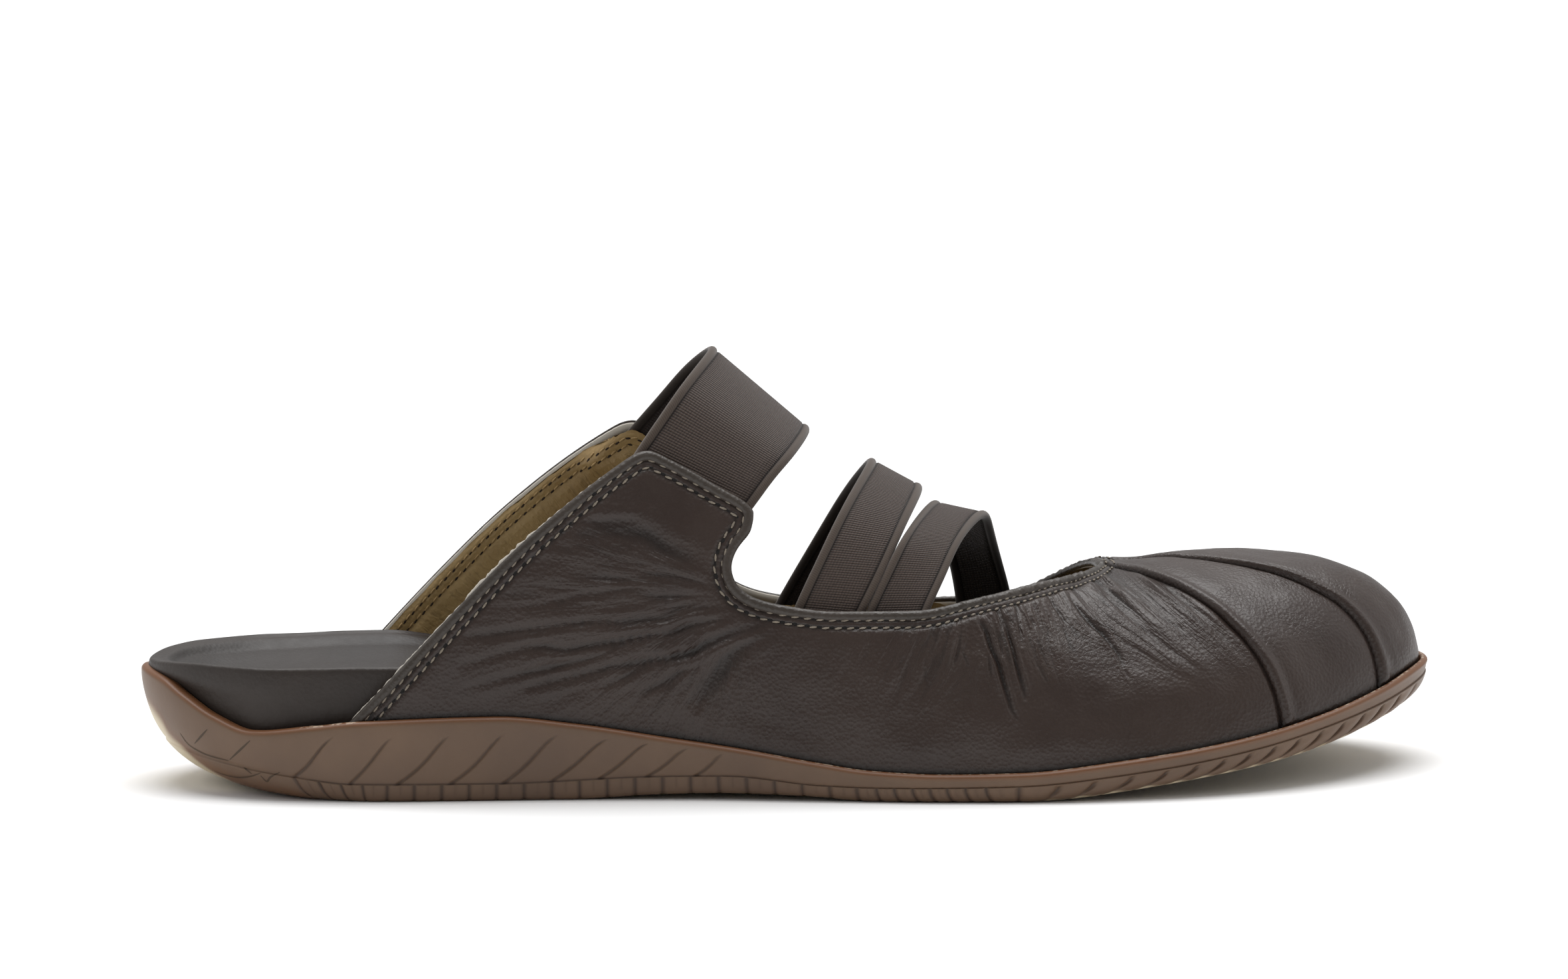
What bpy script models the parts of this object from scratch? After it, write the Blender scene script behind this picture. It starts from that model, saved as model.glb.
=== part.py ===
"""Slip-on mule for the right foot: a gum-rubber cup sole, a leather-covered footbed, a hollow leather
upper with two rolled vamp seams, and three elastic straps.

The toe points along +X, the outer side of the foot is -Y, and the shoe stands on Z = 0.
Sizes and tables are in millimetres; MM turns them into metres.
"""

import math

import bmesh
import bpy
from mathutils import Vector

MM = 0.001

# Driving sizes
LENGTH = 260.0  # outsole, heel to toe
GAP = 0.3  # left between pieces that touch
UPPER_WALL = 2.0  # leather, lining and turned edge
RIM_AT_UPPER = 1.6  # thickness of the cup's rim where it holds the upper
RIM_AT_HEEL = 3.2  # and where it holds the footbed alone
STRAP_WALL = 1.5  # woven elastic
UPPER_BACK = -94.0  # foot of the upper's back edges
THROAT = 62.4  # section line that the foot opening ends on, at the crest of the vamp

HEEL_TIP = -LENGTH / 2
TOE_TIP = LENGTH / 2
UPPER_INSET = RIM_AT_UPPER + GAP
LATERAL = -1
MEDIAL = 1


# ---------------------------------------------------------------- tables read as smooth curves
def slopes_through(keys, values):
    """Slope at each row of a curve that never swings past its rows."""
    steps = [b - a for a, b in zip(keys, keys[1:])]
    rises = [(b - a) / step for a, b, step in zip(values, values[1:], steps)]
    slopes = [rises[0]]
    for i in range(1, len(rises)):
        before, after = rises[i - 1], rises[i]
        if before * after <= 0.0:
            slopes.append(0.0)
            continue
        near = 2.0 * steps[i] + steps[i - 1]
        far = steps[i] + 2.0 * steps[i - 1]
        slopes.append((near + far) / (near / before + far / after))
    return slopes + [rises[-1]]


class Table:
    """Rows with named columns. The first column is the key that the others are read at."""

    def __init__(self, columns, rows):
        names = columns.split()
        self.keys = [row[0] for row in rows]
        self.values = {}
        self.slopes = {}
        for i, name in enumerate(names[1:], 1):
            self.values[name] = [row[i] for row in rows]
            self.slopes[name] = slopes_through(self.keys, self.values[name])

    def read(self, name, key):
        keys, values, slopes = self.keys, self.values[name], self.slopes[name]
        if key <= keys[0]:
            return values[0]
        if key >= keys[-1]:
            return values[-1]
        i = max(n for n, row_key in enumerate(keys) if row_key <= key)
        step = keys[i + 1] - keys[i]
        t = (key - keys[i]) / step
        blend = t * t * (3.0 - 2.0 * t)
        lean_in = slopes[i] * step * t * (1.0 - t) ** 2
        lean_out = slopes[i + 1] * step * t * t * (t - 1.0)
        return values[i] + (values[i + 1] - values[i]) * blend + lean_in + lean_out


def turn_at(x):
    """Angle around the plan outline, 0 at the heel tip and pi at the toe tip, which rounds both ends."""
    return math.acos(max(-1.0, min(1.0, -x / TOE_TIP)))


# Half-widths of the outsole, at a fraction of its length
OUTLINE = Table(
    "turn lateral medial",
    [
        (turn_at(LENGTH * (along - 0.5)), lateral, medial)
        for along, lateral, medial in (
            (0.00, 0.0, 0.0),
            (0.05, -22.0, 21.0),
            (0.10, -29.0, 28.0),
            (0.20, -33.0, 31.0),
            (0.30, -33.5, 29.5),
            (0.40, -35.0, 27.5),
            (0.50, -39.5, 29.5),
            (0.60, -44.0, 35.5),
            (0.68, -45.5, 41.0),
            (0.77, -43.0, 45.4),
            (0.84, -37.5, 43.0),
            (0.90, -28.5, 38.0),
            (0.95, -17.5, 31.0),
            (0.98, -7.5, 23.5),
            (1.00, 8.0, 8.0),
        )
    ],
)

# The cup sole in side view: its underside, its inner floor and the top of its rim
TREAD = Table(
    "x z",
    [
        (-104.0, 0.0),
        (-48.0, 0.0),
        (-30.0, 0.9),
        (-16.0, 1.2),
        (-2.0, 0.9),
        (12.0, 0.0),
        (42.0, 0.0),
        (50.0, 0.4),
        (59.0, 1.3),
        (75.0, 3.2),
        (88.0, 4.9),
        (102.0, 7.2),
        (117.0, 11.0),
        (124.0, 13.3),
        (130.0, 15.6),
    ],
)
FLOOR = Table(
    "x z",
    [
        (-130.0, 18.6),
        (-122.0, 14.4),
        (-116.0, 11.6),
        (-109.0, 9.9),
        (-100.0, 10.6),
        (-89.0, 12.0),
        (-61.0, 12.6),
        (-46.0, 11.3),
        (-26.0, 8.6),
        (-13.0, 6.8),
        (1.0, 4.5),
        (11.0, 3.2),
        (25.0, 2.7),
        (46.0, 2.7),
        (59.0, 3.9),
        (75.0, 5.8),
        (88.0, 7.6),
        (102.0, 10.0),
        (117.0, 13.8),
        (124.0, 16.1),
        (130.0, 18.3),
    ],
)
RIM = Table(
    "x z",
    [
        (-130.0, 24.5),
        (-126.5, 23.2),
        (-123.0, 20.4),
        (-116.4, 16.1),
        (-109.5, 13.8),
        (-97.5, 15.0),
        (-88.8, 16.0),
        (-61.0, 16.8),
        (-46.2, 15.3),
        (-26.4, 12.2),
        (-13.2, 10.2),
        (1.2, 7.7),
        (11.0, 6.3),
        (25.0, 5.7),
        (40.7, 6.0),
        (58.9, 7.7),
        (79.9, 10.2),
        (102.0, 13.9),
        (116.8, 17.5),
        (127.4, 20.4),
        (130.0, 20.8),
    ],
)
RIM_THICKNESS = Table(
    "x wall",
    [
        (-130.0, RIM_AT_HEEL),
        (UPPER_BACK - 4.0, RIM_AT_HEEL),
        (UPPER_BACK - 1.2, RIM_AT_UPPER),
        (130.0, RIM_AT_UPPER),
    ],
)
# How far the foot of the side wall curls in under the shoe, and how high its ribbed band stands
CURL = Table("x inset", [(-85.0, 2.5), (0.0, 2.5), (60.0, 3.0), (130.0, 4.0)])
BAND = Table(
    "x z",
    [
        (-130.0, 9.0),
        (-104.4, 5.4),
        (-91.0, 3.9),
        (-61.0, 3.8),
        (-31.0, 5.0),
        (-16.0, 5.2),
        (1.5, 3.4),
        (13.0, 3.0),
        (40.0, 3.3),
        (59.0, 4.7),
        (88.0, 8.4),
        (117.0, 14.2),
        (130.0, 18.0),
    ],
)

# The last: the crest it rises to in side view, and how far the crest stands off the middle line
CREST = Table(
    "x z",
    [
        (-92.0, 98.0),
        (-60.0, 97.0),
        (-33.0, 93.0),
        (-15.0, 86.6),
        (4.0, 69.4),
        (17.0, 62.4),
        (27.0, 56.6),
        (39.0, 50.6),
        (50.0, 45.2),
        (56.0, 42.6),
        (61.5, 41.1),
        (66.0, 41.0),
        (77.0, 42.2),
        (90.0, 42.8),
    ],
)
RIDGE = Table("x y", [(-92.0, 0.0), (0.0, -1.0), (60.0, 1.5), (90.0, 5.5)])
FULLNESS = Table("x power", [(-60.0, 2.15), (30.0, 2.1), (80.0, 2.15), (130.0, 2.32)])

# Section lines lean towards the middle of the toe and of the heel
TOE_FAN = 50.0
HEEL_FAN = -98.0

# The upper's free edge, back to front: each line of the wall runs from a foot on the sole to this edge
EDGE_COLUMNS = "foot x z sweep"
LATERAL_EDGE = Table(
    EDGE_COLUMNS,
    [
        (UPPER_BACK, -33.6, 67.4, 0.88),
        (-88.0, -31.0, 68.1, 0.9),
        (-80.0, -26.4, 66.1, 0.93),
        (-66.0, -16.4, 60.4, 1.0),
        (-60.0, -12.2, 58.0, 1.0),
        (-56.0, -10.6, 56.0, 1.0),
        (-52.0, -11.2, 53.0, 1.0),
        (-44.0, -14.5, 48.6, 1.0),
        (-38.0, -15.5, 45.4, 1.0),
        (-32.0, -14.4, 42.0, 1.0),
        (-26.0, -11.0, 39.6, 1.0),
        (-17.0, -4.4, 38.0, 1.0),
        (-4.0, 4.7, 37.0, 1.0),
        (20.0, 20.0, 37.0, 1.1),
        (44.0, 34.0, 39.1, 1.3),
        (68.0, 48.0, 40.9, 1.6),
        (82.0, 55.6, 41.1, 1.8),
        (94.8, THROAT - 0.2, 41.05, 1.9),
    ],
)
MEDIAL_EDGE = Table(
    EDGE_COLUMNS,
    [
        (UPPER_BACK, -33.0, 68.6, 0.88),
        (-88.0, -30.4, 69.2, 0.9),
        (-80.0, -26.0, 67.1, 0.93),
        (-66.0, -15.6, 61.2, 1.0),
        (-60.0, -11.2, 58.6, 1.0),
        (-56.0, -9.6, 56.6, 1.0),
        (-52.0, -10.2, 53.2, 1.0),
        (-44.0, -13.5, 47.2, 1.0),
        (-38.0, -14.4, 42.8, 1.0),
        (-32.0, -13.2, 38.6, 1.0),
        (-26.0, -9.8, 35.2, 1.0),
        (-17.0, -3.6, 32.8, 1.0),
        (-4.0, 5.6, 31.4, 1.0),
        (20.0, 24.0, 30.6, 1.0),
        (36.0, 38.0, 30.7, 1.0),
        (48.0, 48.0, 31.5, 1.0),
        (55.0, 54.0, 34.6, 1.0),
        (60.0, 58.6, 38.0, 1.0),
        (64.6, THROAT - 0.2, 41.0, 1.0),
    ],
)

# The two rolled seams: from the sole on the outer side, sweeping back over the crest to the throat
SEAMS = (
    {"foot": 95.0, "crest": THROAT, "sweep": 1.9},
    {"foot": 117.8, "crest": 76.0, "sweep": 4.0},
)
ROLL_HEIGHT = 0.9
ROLL_MIDDLE = 1.2  # how far ahead of the seam the roll is highest
ROLL_WIDTH = 1.3
LAP_HEIGHT = 0.5  # the panel ahead lies over the one behind
LAP_LENGTH = 8.0  # over which it settles back onto the last
CREST_FADE = 0.6  # share of their height that the seams lose where they meet at the throat
CLEAR_OF_RIM = (0.2, 3.0)  # height above the rim over which the seams come up
SECTION_ARC = 55.0  # usual distance over the wall from the sole to the crest
# Where the inner side's lines meet the sole, for each place that they leave the crest
MEDIAL_FOOT = Table("crest foot", [(THROAT, 64.8), (76.0, 84.0), (94.0, 106.0), (130.0, 130.0)])

# Straps: rear and front border of the outer face, from the outer side over the instep to the inner side
STRAP_SEAT = UPPER_WALL + GAP + 0.2  # depth of a strap's outer face under the upper's
STRAP_COLUMNS = "side rear_x rear_z front_x front_z inset"
STRAPS = {
    "strap_instep": (
        (-1, -37.6, 61.4, -16.6, 50.4, STRAP_SEAT),
        (-1, -33.6, 67.8, -10.6, 57.0, STRAP_SEAT),
        (-1, -28.4, 74.6, -5.6, 62.6, 1.6),
        (-1, -22.6, 81.6, -0.8, 66.6, 0.6),
        (0, -15.4, 86.8, 4.2, 69.6, 0.0),
        (1, -20.0, 82.2, 0.4, 66.0, 0.6),
        (1, -25.4, 75.4, -4.6, 61.6, 1.6),
        (1, -31.0, 68.6, -9.8, 56.4, STRAP_SEAT),
        (1, -36.0, 61.8, -15.4, 48.4, STRAP_SEAT),
    ),
    "strap_middle": (
        (-1, -6.6, 29.6, 6.2, 28.8, STRAP_SEAT),
        (-1, -3.0, 38.2, 10.2, 37.0, STRAP_SEAT),
        (-1, 1.8, 47.0, 15.6, 46.0, 1.6),
        (-1, 8.2, 57.6, 21.2, 54.0, 0.5),
        (0, 16.2, 64.3, 26.9, 58.0, 0.0),
        (1, 12.2, 56.6, 22.6, 51.6, 0.5),
        (1, 6.4, 46.0, 17.4, 42.4, 1.6),
        (1, -0.6, 33.2, 11.6, 32.6, STRAP_SEAT),
        (1, -4.6, 25.4, 8.0, 24.8, STRAP_SEAT),
    ),
    "strap_front": (
        (-1, 7.4, 28.8, 20.4, 28.8, STRAP_SEAT),
        (-1, 11.0, 37.0, 24.0, 37.6, STRAP_SEAT),
        (-1, 16.0, 45.2, 28.4, 44.4, 1.6),
        (-1, 20.8, 52.0, 32.6, 49.9, 0.5),
        (0, 27.6, 54.6, 39.2, 52.3, 0.0),
        (1, 30.2, 51.4, 41.8, 48.2, 0.5),
        (1, 33.2, 43.6, 44.6, 42.0, 1.6),
        (1, 35.4, 32.4, 47.4, 32.6, STRAP_SEAT),
        (1, 35.8, 24.4, 48.0, 24.6, STRAP_SEAT),
    ),
}

# Slanted grooves in the side wall: foot and head of each, along X
GROOVES = Table(
    "number foot head",
    [
        (0, -113.5, -109.6),
        (1, -103.6, -95.4),
        (2, -92.2, -82.4),
        (3, -81.2, -71.2),
        (4, -70.6, -60.4),
        (5, -60.3, -50.5),
        (6, -50.6, -40.8),
        (7, -41.0, -32.4),
        (8, -31.6, -24.6),
        (9, -22.4, -17.0),
    ],
)
GROOVE_COUNT = 10
GROOVE_WIDTH = 0.9
GROOVE_DEPTH = 0.6
GROOVE_HEAD = 0.82  # where they end, as a part of the wall's height
GROOVE_REACH = 2.5  # the cutting bars stand out this far

MATERIALS = {
    "gum_rubber": ((0.105, 0.060, 0.040), 0.45),
    "footbed_leather": ((0.085, 0.070, 0.058), 0.60),
    "upper_leather": ((0.045, 0.033, 0.028), 0.42),
    "woven_elastic": ((0.060, 0.045, 0.038), 0.85),
}


# ---------------------------------------------------------------- the last and the sole as functions
def outline_at(turn, side):
    column = "lateral" if side == LATERAL else "medial"
    return Vector((-TOE_TIP * math.cos(turn), OUTLINE.read(column, turn)))


def edge_point(x, side, inset):
    """A point of the plan outline, moved in from it at right angles."""
    turn = turn_at(x)
    nudge = 0.01
    ahead = outline_at(min(turn + nudge, math.pi), side)
    behind = outline_at(max(turn - nudge, 0.0), side)
    run = ahead - behind
    outward = Vector((run.y, -run.x)).normalized() * -side
    return outline_at(turn, side) - outward * inset


def spine_x(x):
    if x > TOE_FAN:
        return x - (x - TOE_FAN) ** 2 / (2.0 * (TOE_TIP - TOE_FAN))
    if x < HEEL_FAN:
        return x + (x - HEEL_FAN) ** 2 / (2.0 * (HEEL_FAN - HEEL_TIP))
    return x


def spine_point(x):
    along = spine_x(x)
    return Vector((along, RIDGE.read("y", along)))


def last_point(x, rise, side):
    """A point of the upper's outer face: rise is 0 at the sole and 1 on the crest."""
    angle = rise * math.pi / 2.0
    power = 2.0 / FULLNESS.read("power", x)
    foot = edge_point(x, side, UPPER_INSET)
    spine = spine_point(x)
    low = FLOOR.read("z", foot.x) + GAP
    high = CREST.read("z", spine.x)
    plan = spine + (foot - spine) * max(math.cos(angle), 0.0) ** power
    return Vector((plan.x, plan.y, low + (high - low) * math.sin(angle) ** power))


def rise_at(x, z, side):
    """The rise at which the section at x reaches height z."""
    low = last_point(x, 0.0, side).z
    high = last_point(x, 1.0, side).z
    part = max(0.0, min(1.0, (z - low) / (high - low)))
    return math.asin(part ** (FULLNESS.read("power", x) / 2.0)) * 2.0 / math.pi


def last_normal(x, rise, side):
    """Outward direction of the last's surface."""
    nudge = 0.02
    low, high = max(rise - nudge, 0.0), min(rise + nudge, 0.999)
    ahead = min(x + 1.0, TOE_TIP)
    upwards = last_point(x, high, side) - last_point(x, low, side)
    onwards = last_point(ahead, rise, side) - last_point(ahead - 2.0, rise, side)
    return upwards.cross(onwards).normalized() * side


def seam_x(seam, rise):
    return seam["crest"] + (seam["foot"] - seam["crest"]) * (1.0 - rise ** seam["sweep"])


def seam_lean(seam, rise):
    """Cosine of the seam's slant against the section lines."""
    slant = (seam["foot"] - seam["crest"]) * seam["sweep"] * rise ** (seam["sweep"] - 1.0) / SECTION_ARC
    return 1.0 / math.sqrt(1.0 + slant * slant)


def seam_distance(seam, x, rise, side):
    """Millimetres ahead of the seam. On the inner side it runs on straight to the throat."""
    if side == LATERAL:
        return (x - seam_x(seam, rise)) * seam_lean(seam, rise)
    lean = seam_lean(seam, 1.0)
    return (x - seam["crest"]) * lean + (1.0 - rise) * SECTION_ARC * math.sqrt(1.0 - lean * lean)


def fade(value, low, high):
    t = max(0.0, min(1.0, (value - low) / (high - low)))
    return t * t * (3.0 - 2.0 * t)


def seam_height(x, rise, side):
    """How far the rolled seams lift the wall."""
    if x < THROAT - 4.0:
        return 0.0
    height = 0.0
    for seam in SEAMS:
        ahead = seam_distance(seam, x, rise, side)
        if ahead >= 0.0:
            height += ROLL_HEIGHT * math.exp(-(((ahead - ROLL_MIDDLE) / ROLL_WIDTH) ** 2))
            height += LAP_HEIGHT * math.exp(-ahead / LAP_LENGTH)
    above_rim = last_point(x, rise, side).z - RIM.read("z", x)
    return height * fade(above_rim, *CLEAR_OF_RIM) * (1.0 - CREST_FADE * fade(rise, 0.7, 1.0))


# ---------------------------------------------------------------- mesh helpers
def finish(bm, name, material):
    """Turns the faces outwards and makes the named object."""
    bmesh.ops.recalc_face_normals(bm, faces=bm.faces)
    mesh = bpy.data.meshes.new(name)
    bm.to_mesh(mesh)
    bm.free()
    mesh.materials.append(material)
    mesh.shade_smooth()
    mesh.set_sharp_from_angle(angle=math.radians(40.0))
    built = bpy.data.objects.new(name, mesh)
    bpy.context.collection.objects.link(built)
    return built


def add_ring(bm, points):
    return [bm.verts.new(Vector(point) * MM) for point in points]


def skin(bm, first, second, closed=True):
    count = len(first)
    for i in range(count if closed else count - 1):
        j = (i + 1) % count
        bm.faces.new((first[i], first[j], second[j], second[i]))


def zip_across(bm, ring):
    """Closes a ring by strips from its outer side to its inner side."""
    last = len(ring) - 1
    half = len(ring) // 2
    bm.faces.new((ring[0], ring[1], ring[last]))
    for i in range(1, half - 1):
        bm.faces.new((ring[i], ring[i + 1], ring[last - i], ring[last + 1 - i]))
    bm.faces.new((ring[half - 1], ring[half], ring[half + 1]))


def around(stations, place):
    """A ring of points: along the outer side to the toe and back along the inner side."""
    outer = [place(x, LATERAL, i) for i, x in enumerate(stations)]
    inner = [place(x, MEDIAL, i) for i, x in enumerate(stations)][1:-1]
    return outer + inner[::-1]


def spread(first, last, step):
    count = max(1, round((last - first) / step))
    return [first + (last - first) * i / count for i in range(count)]


# ---------------------------------------------------------------- outsole
RIB_PITCH = 5.4
LUG_PITCH = 4.4
RIB_FROM, LUG_FROM, LUG_TO = -107.0, 34.0, 122.0
RIB_DEPTH = 0.6
BAND_STEP = 0.03  # half the height of the step over the ribbed band, as a part of the wall
BAND_BACK = 0.8  # how far the wall above the band stands back
SKIRT = 0.1  # the ribs stand back this much, so that the rim is the widest line
RIM_ROUND = 0.4
WALL_CURVE = 2.3  # roundness of the wall where it curls under
HEEL_CURL = (-85.0, -104.0)  # behind the first, the wall's foot curls in, at the tip as far as the second
HEEL_HALF_WIDTH = 33.0


def sole_stations():
    heel_end = [-TOE_TIP * math.cos(turn_at(RIB_FROM) * i / 9) for i in range(9)]
    toe_turn = turn_at(LUG_TO)
    toe_end = [-TOE_TIP * math.cos(toe_turn + (math.pi - toe_turn) * i / 5) for i in range(6)]
    ribs = spread(RIB_FROM, LUG_FROM, RIB_PITCH / 2.0)
    lugs = spread(LUG_FROM, LUG_TO, LUG_PITCH / 2.0)
    return heel_end + ribs + lugs + toe_end


def tread_foot(x, side):
    """Where the side wall meets the underside: curled well in at the heel, a little elsewhere."""
    side_end, tip_foot = HEEL_CURL
    if x >= side_end:
        return edge_point(x, side, CURL.read("inset", x))
    back = (side_end - x) / (side_end - HEEL_TIP)
    wide = outline_at(turn_at(x), side).y
    squeeze = 1.0 - CURL.read("inset", side_end) / HEEL_HALF_WIDTH
    return Vector((side_end + (tip_foot - side_end) * back, wide * squeeze))


def wall_point(x, side, part, inset):
    """A point of the side wall: part is 0 at the tread and 1 at the rim."""
    top = edge_point(x, side, inset)
    foot = tread_foot(x, side)
    curl = 1.0 - (1.0 - (1.0 - part) ** WALL_CURVE) ** (1.0 / WALL_CURVE)
    plan = top + (foot - top) * curl
    low = TREAD.read("z", foot.x)
    return Vector((plan.x, plan.y, low + (RIM.read("z", x) - low) * part))


def band_part(x, side):
    low = TREAD.read("z", tread_foot(x, side).x)
    return (BAND.read("z", x) - low) / (RIM.read("z", x) - low)


def rib_fade(x):
    return fade(x, RIB_FROM - 4.0, RIB_FROM) * (1.0 - fade(x, LUG_TO, TOE_TIP))


def rib(x, i):
    """Every other station stands back between two ribs."""
    return RIB_DEPTH * rib_fade(x) if i % 2 else 0.0


def lug(x, i):
    """Near the tread the toe's lugs are half a pitch on from the ribs above, so they look slanted."""
    return rib(x, i + 1 if x > LUG_FROM else i)


# The rings of the cup, from its floor up the inside, over the rim and down the outside to the tread
def floor_edge(x, side, i):
    plan = edge_point(x, side, RIM_THICKNESS.read("wall", x))
    return Vector((plan.x, plan.y, FLOOR.read("z", plan.x)))


def rim_inside(x, side, i):
    plan = edge_point(x, side, RIM_THICKNESS.read("wall", x))
    return Vector((plan.x, plan.y, RIM.read("z", x) - RIM_ROUND))


def rim_crown(x, side, i):
    plan = edge_point(x, side, RIM_THICKNESS.read("wall", x) * 0.55)
    return Vector((plan.x, plan.y, RIM.read("z", x)))


def rim_outside(x, side, i):
    return wall_point(x, side, 0.93, SKIRT)


def mid_wall(x, side, i):
    return wall_point(x, side, 0.5 + 0.5 * band_part(x, side), BAND_BACK - 0.1)


def over_band(x, side, i):
    return wall_point(x, side, band_part(x, side) + BAND_STEP, BAND_BACK)


def band_top(x, side, i):
    return wall_point(x, side, band_part(x, side) - BAND_STEP, SKIRT + rib(x, i))


def band_foot(x, side, i):
    return wall_point(x, side, 0.1, SKIRT + lug(x, i))


def tread_edge(x, side, i):
    foot = tread_foot(x, side)
    return Vector((foot.x, foot.y, TREAD.read("z", foot.x)))


CUP = (
    floor_edge, rim_inside, rim_crown, rim_outside, mid_wall, over_band, band_top, band_foot, tread_edge,
)


def make_outsole(material):
    stations = sole_stations()
    bm = bmesh.new()
    made = [add_ring(bm, around(stations, place)) for place in CUP]
    for upper_ring, lower_ring in zip(made, made[1:]):
        skin(bm, upper_ring, lower_ring)
    zip_across(bm, made[0])
    zip_across(bm, made[-1])
    built = finish(bm, "outsole", material)
    cut_grooves(built)
    return built


def groove_cutter(bm, number, side):
    """One slanted bar that dips into the side wall."""
    foot_x = GROOVES.read("foot", number)
    head_x = GROOVES.read("head", number)
    low = wall_point(foot_x, side, band_part(foot_x, side) + 0.07, BAND_BACK)
    high = wall_point(head_x, side, GROOVE_HEAD, BAND_BACK / 2.0)
    along = (high - low).normalized()
    out = Vector((0.0, side, 0.0))
    out = (out - along * out.dot(along)).normalized()
    across = along.cross(out) * (GROOVE_WIDTH / 2.0)
    corners = []
    for end in (low, high):
        for depth in (-GROOVE_DEPTH, GROOVE_REACH):
            for edge in (-1.0, 1.0):
                corners.append(end + out * depth + across * edge)
    points = add_ring(bm, corners)
    bmesh.ops.convex_hull(bm, input=points)


def cut_grooves(sole):
    bm = bmesh.new()
    for side in (LATERAL, MEDIAL):
        for number in range(GROOVE_COUNT):
            groove_cutter(bm, number, side)
    cutter = finish(bm, "groove_cutter", sole.data.materials[0])
    cutter.hide_render = True
    cutter.display_type = "WIRE"
    cut = sole.modifiers.new("grooves", "BOOLEAN")
    cut.operation = "DIFFERENCE"
    cut.solver = "EXACT"
    cut.object = cutter


# ---------------------------------------------------------------- footbed
BED = Table(
    "x inset rim dish",
    [
        (-130.0, 3.5, 25.0, 3.0),
        (-124.0, 3.5, 26.0, 3.6),
        (-116.0, 3.5, 26.2, 4.0),
        (-102.0, 3.5, 25.7, 4.0),
        (UPPER_BACK - 3.4, 3.5, 25.5, 3.9),
        (UPPER_BACK, 5.2, 25.3, 3.7),
        (-72.0, 5.4, 24.3, 3.0),
        (-45.0, 5.4, 20.4, 1.6),
        (-15.0, 5.4, 14.2, 1.0),
        (15.0, 5.3, 9.2, 0.8),
        (45.0, 5.2, 7.9, 0.7),
        (60.0, 5.2, 8.8, 0.7),
        (80.0, 5.2, 11.0, 0.6),
        (100.0, 5.2, 14.2, 0.5),
        (115.0, 5.2, 17.6, 0.4),
        (125.0, 5.2, 20.6, 0.3),
        (130.0, 5.2, 22.0, 0.3),
    ],
)
BED_GAP = 0.4  # its underside is coarser than the cup's floor
# Rings of its side and rolled border: height between the sole and the border, and inset
BED_SIDE = ((0.0, 1.0), (0.12, 0.2), (0.55, 0.0), (0.82, 0.15), (0.95, 0.8), (1.0, 2.2))
# Rings of its top: how far towards the middle, and how much of the dish is reached
BED_TOP = ((0.26, 0.18), (0.5, 0.62), (0.76, 0.94))


def bed_edge(x, side, part, inset):
    plan = edge_point(x, side, BED.read("inset", x) + inset)
    low = FLOOR.read("z", plan.x) + BED_GAP
    return Vector((plan.x, plan.y, low + (BED.read("rim", x) - low) * part))


def bed_top(x, side, inward, sunk):
    rim = bed_edge(x, side, *BED_SIDE[-1])
    spine = spine_point(x)
    plan = rim.xy + (spine - rim.xy) * inward
    along = plan.x + (x - rim.x) * (1.0 - inward)
    return Vector((plan.x, plan.y, BED.read("rim", along) - BED.read("dish", along) * sunk))


def make_footbed(material):
    turns = [math.pi * i / 46 for i in range(47)]
    stations = [-TOE_TIP * math.cos(turn) for turn in turns]
    bm = bmesh.new()
    made = []
    for part, inset in BED_SIDE:
        made.append(add_ring(bm, around(stations, lambda x, side, i: bed_edge(x, side, part, inset))))
    for inward, sunk in BED_TOP:
        made.append(add_ring(bm, around(stations, lambda x, side, i: bed_top(x, side, inward, sunk))))
    for outer, inner in zip(made, made[1:]):
        skin(bm, outer, inner)
    zip_across(bm, made[0])
    zip_across(bm, made[-1])
    return finish(bm, "footbed", material)


# ---------------------------------------------------------------- upper
RISES = (0.0, 0.07, 0.18, 0.3, 0.42, 0.54, 0.66, 0.78, 0.89, 1.0)
SEAM_OFFSETS = (-0.15, 0.15, 1.2, 2.6, 5.5)
BETWEEN_SEAMS = (0.3, 0.65)
TOE_LINES = (0.3, 0.6, 0.85, 1.0)
EDGE_STEPS = (
    (UPPER_BACK, -88.0, 3.0), (-88.0, -52.0, 4.0), (-52.0, -20.0, 4.0), (-20.0, 60.0, 8.0), (60.0, 94.8, 7.0),
)
MEDIAL_STEPS = (
    (UPPER_BACK, -88.0, 3.0), (-88.0, -52.0, 4.0), (-52.0, -20.0, 4.0), (-20.0, 44.0, 8.0), (44.0, 64.6, 4.0),
)


def edge_line(edge, foot, side):
    """One line of the wall, from its foot to the free edge, as places (x, rise)."""
    top_x = edge.read("x", foot)
    top_rise = rise_at(top_x, edge.read("z", foot), side)
    sweep = edge.read("sweep", foot)
    return [(top_x + (foot - top_x) * (1.0 - part ** sweep), top_rise * part) for part in RISES]


def edge_lines(edge, steps, side):
    feet = [foot for first, last, step in steps for foot in spread(first, last, step)]
    return [edge_line(edge, foot, side) for foot in feet + [steps[-1][1]]]


def seam_line(seam, offset):
    return [(seam_x(seam, rise) + offset / seam_lean(seam, rise), rise) for rise in RISES]


def blend_lines(first, second, part):
    return [(a[0] + (b[0] - a[0]) * part, a[1]) for a, b in zip(first, second)]


def closed_lines():
    """The outer side's lines ahead of the throat, where the wall closes over the crest."""
    lines = [seam_line(SEAMS[0], offset) for offset in SEAM_OFFSETS]
    second = [seam_line(SEAMS[1], offset) for offset in SEAM_OFFSETS]
    lines += [blend_lines(lines[-1], second[0], part) for part in BETWEEN_SEAMS]
    tip = [(TOE_TIP, rise) for rise in RISES]
    return lines + second + [blend_lines(second[-1], tip, part) for part in TOE_LINES]


def medial_partner(line):
    crest = line[-1][0]
    foot = MEDIAL_FOOT.read("foot", crest)
    return [(crest + (foot - crest) * (1.0 - rise), rise) for rise in RISES]


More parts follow.
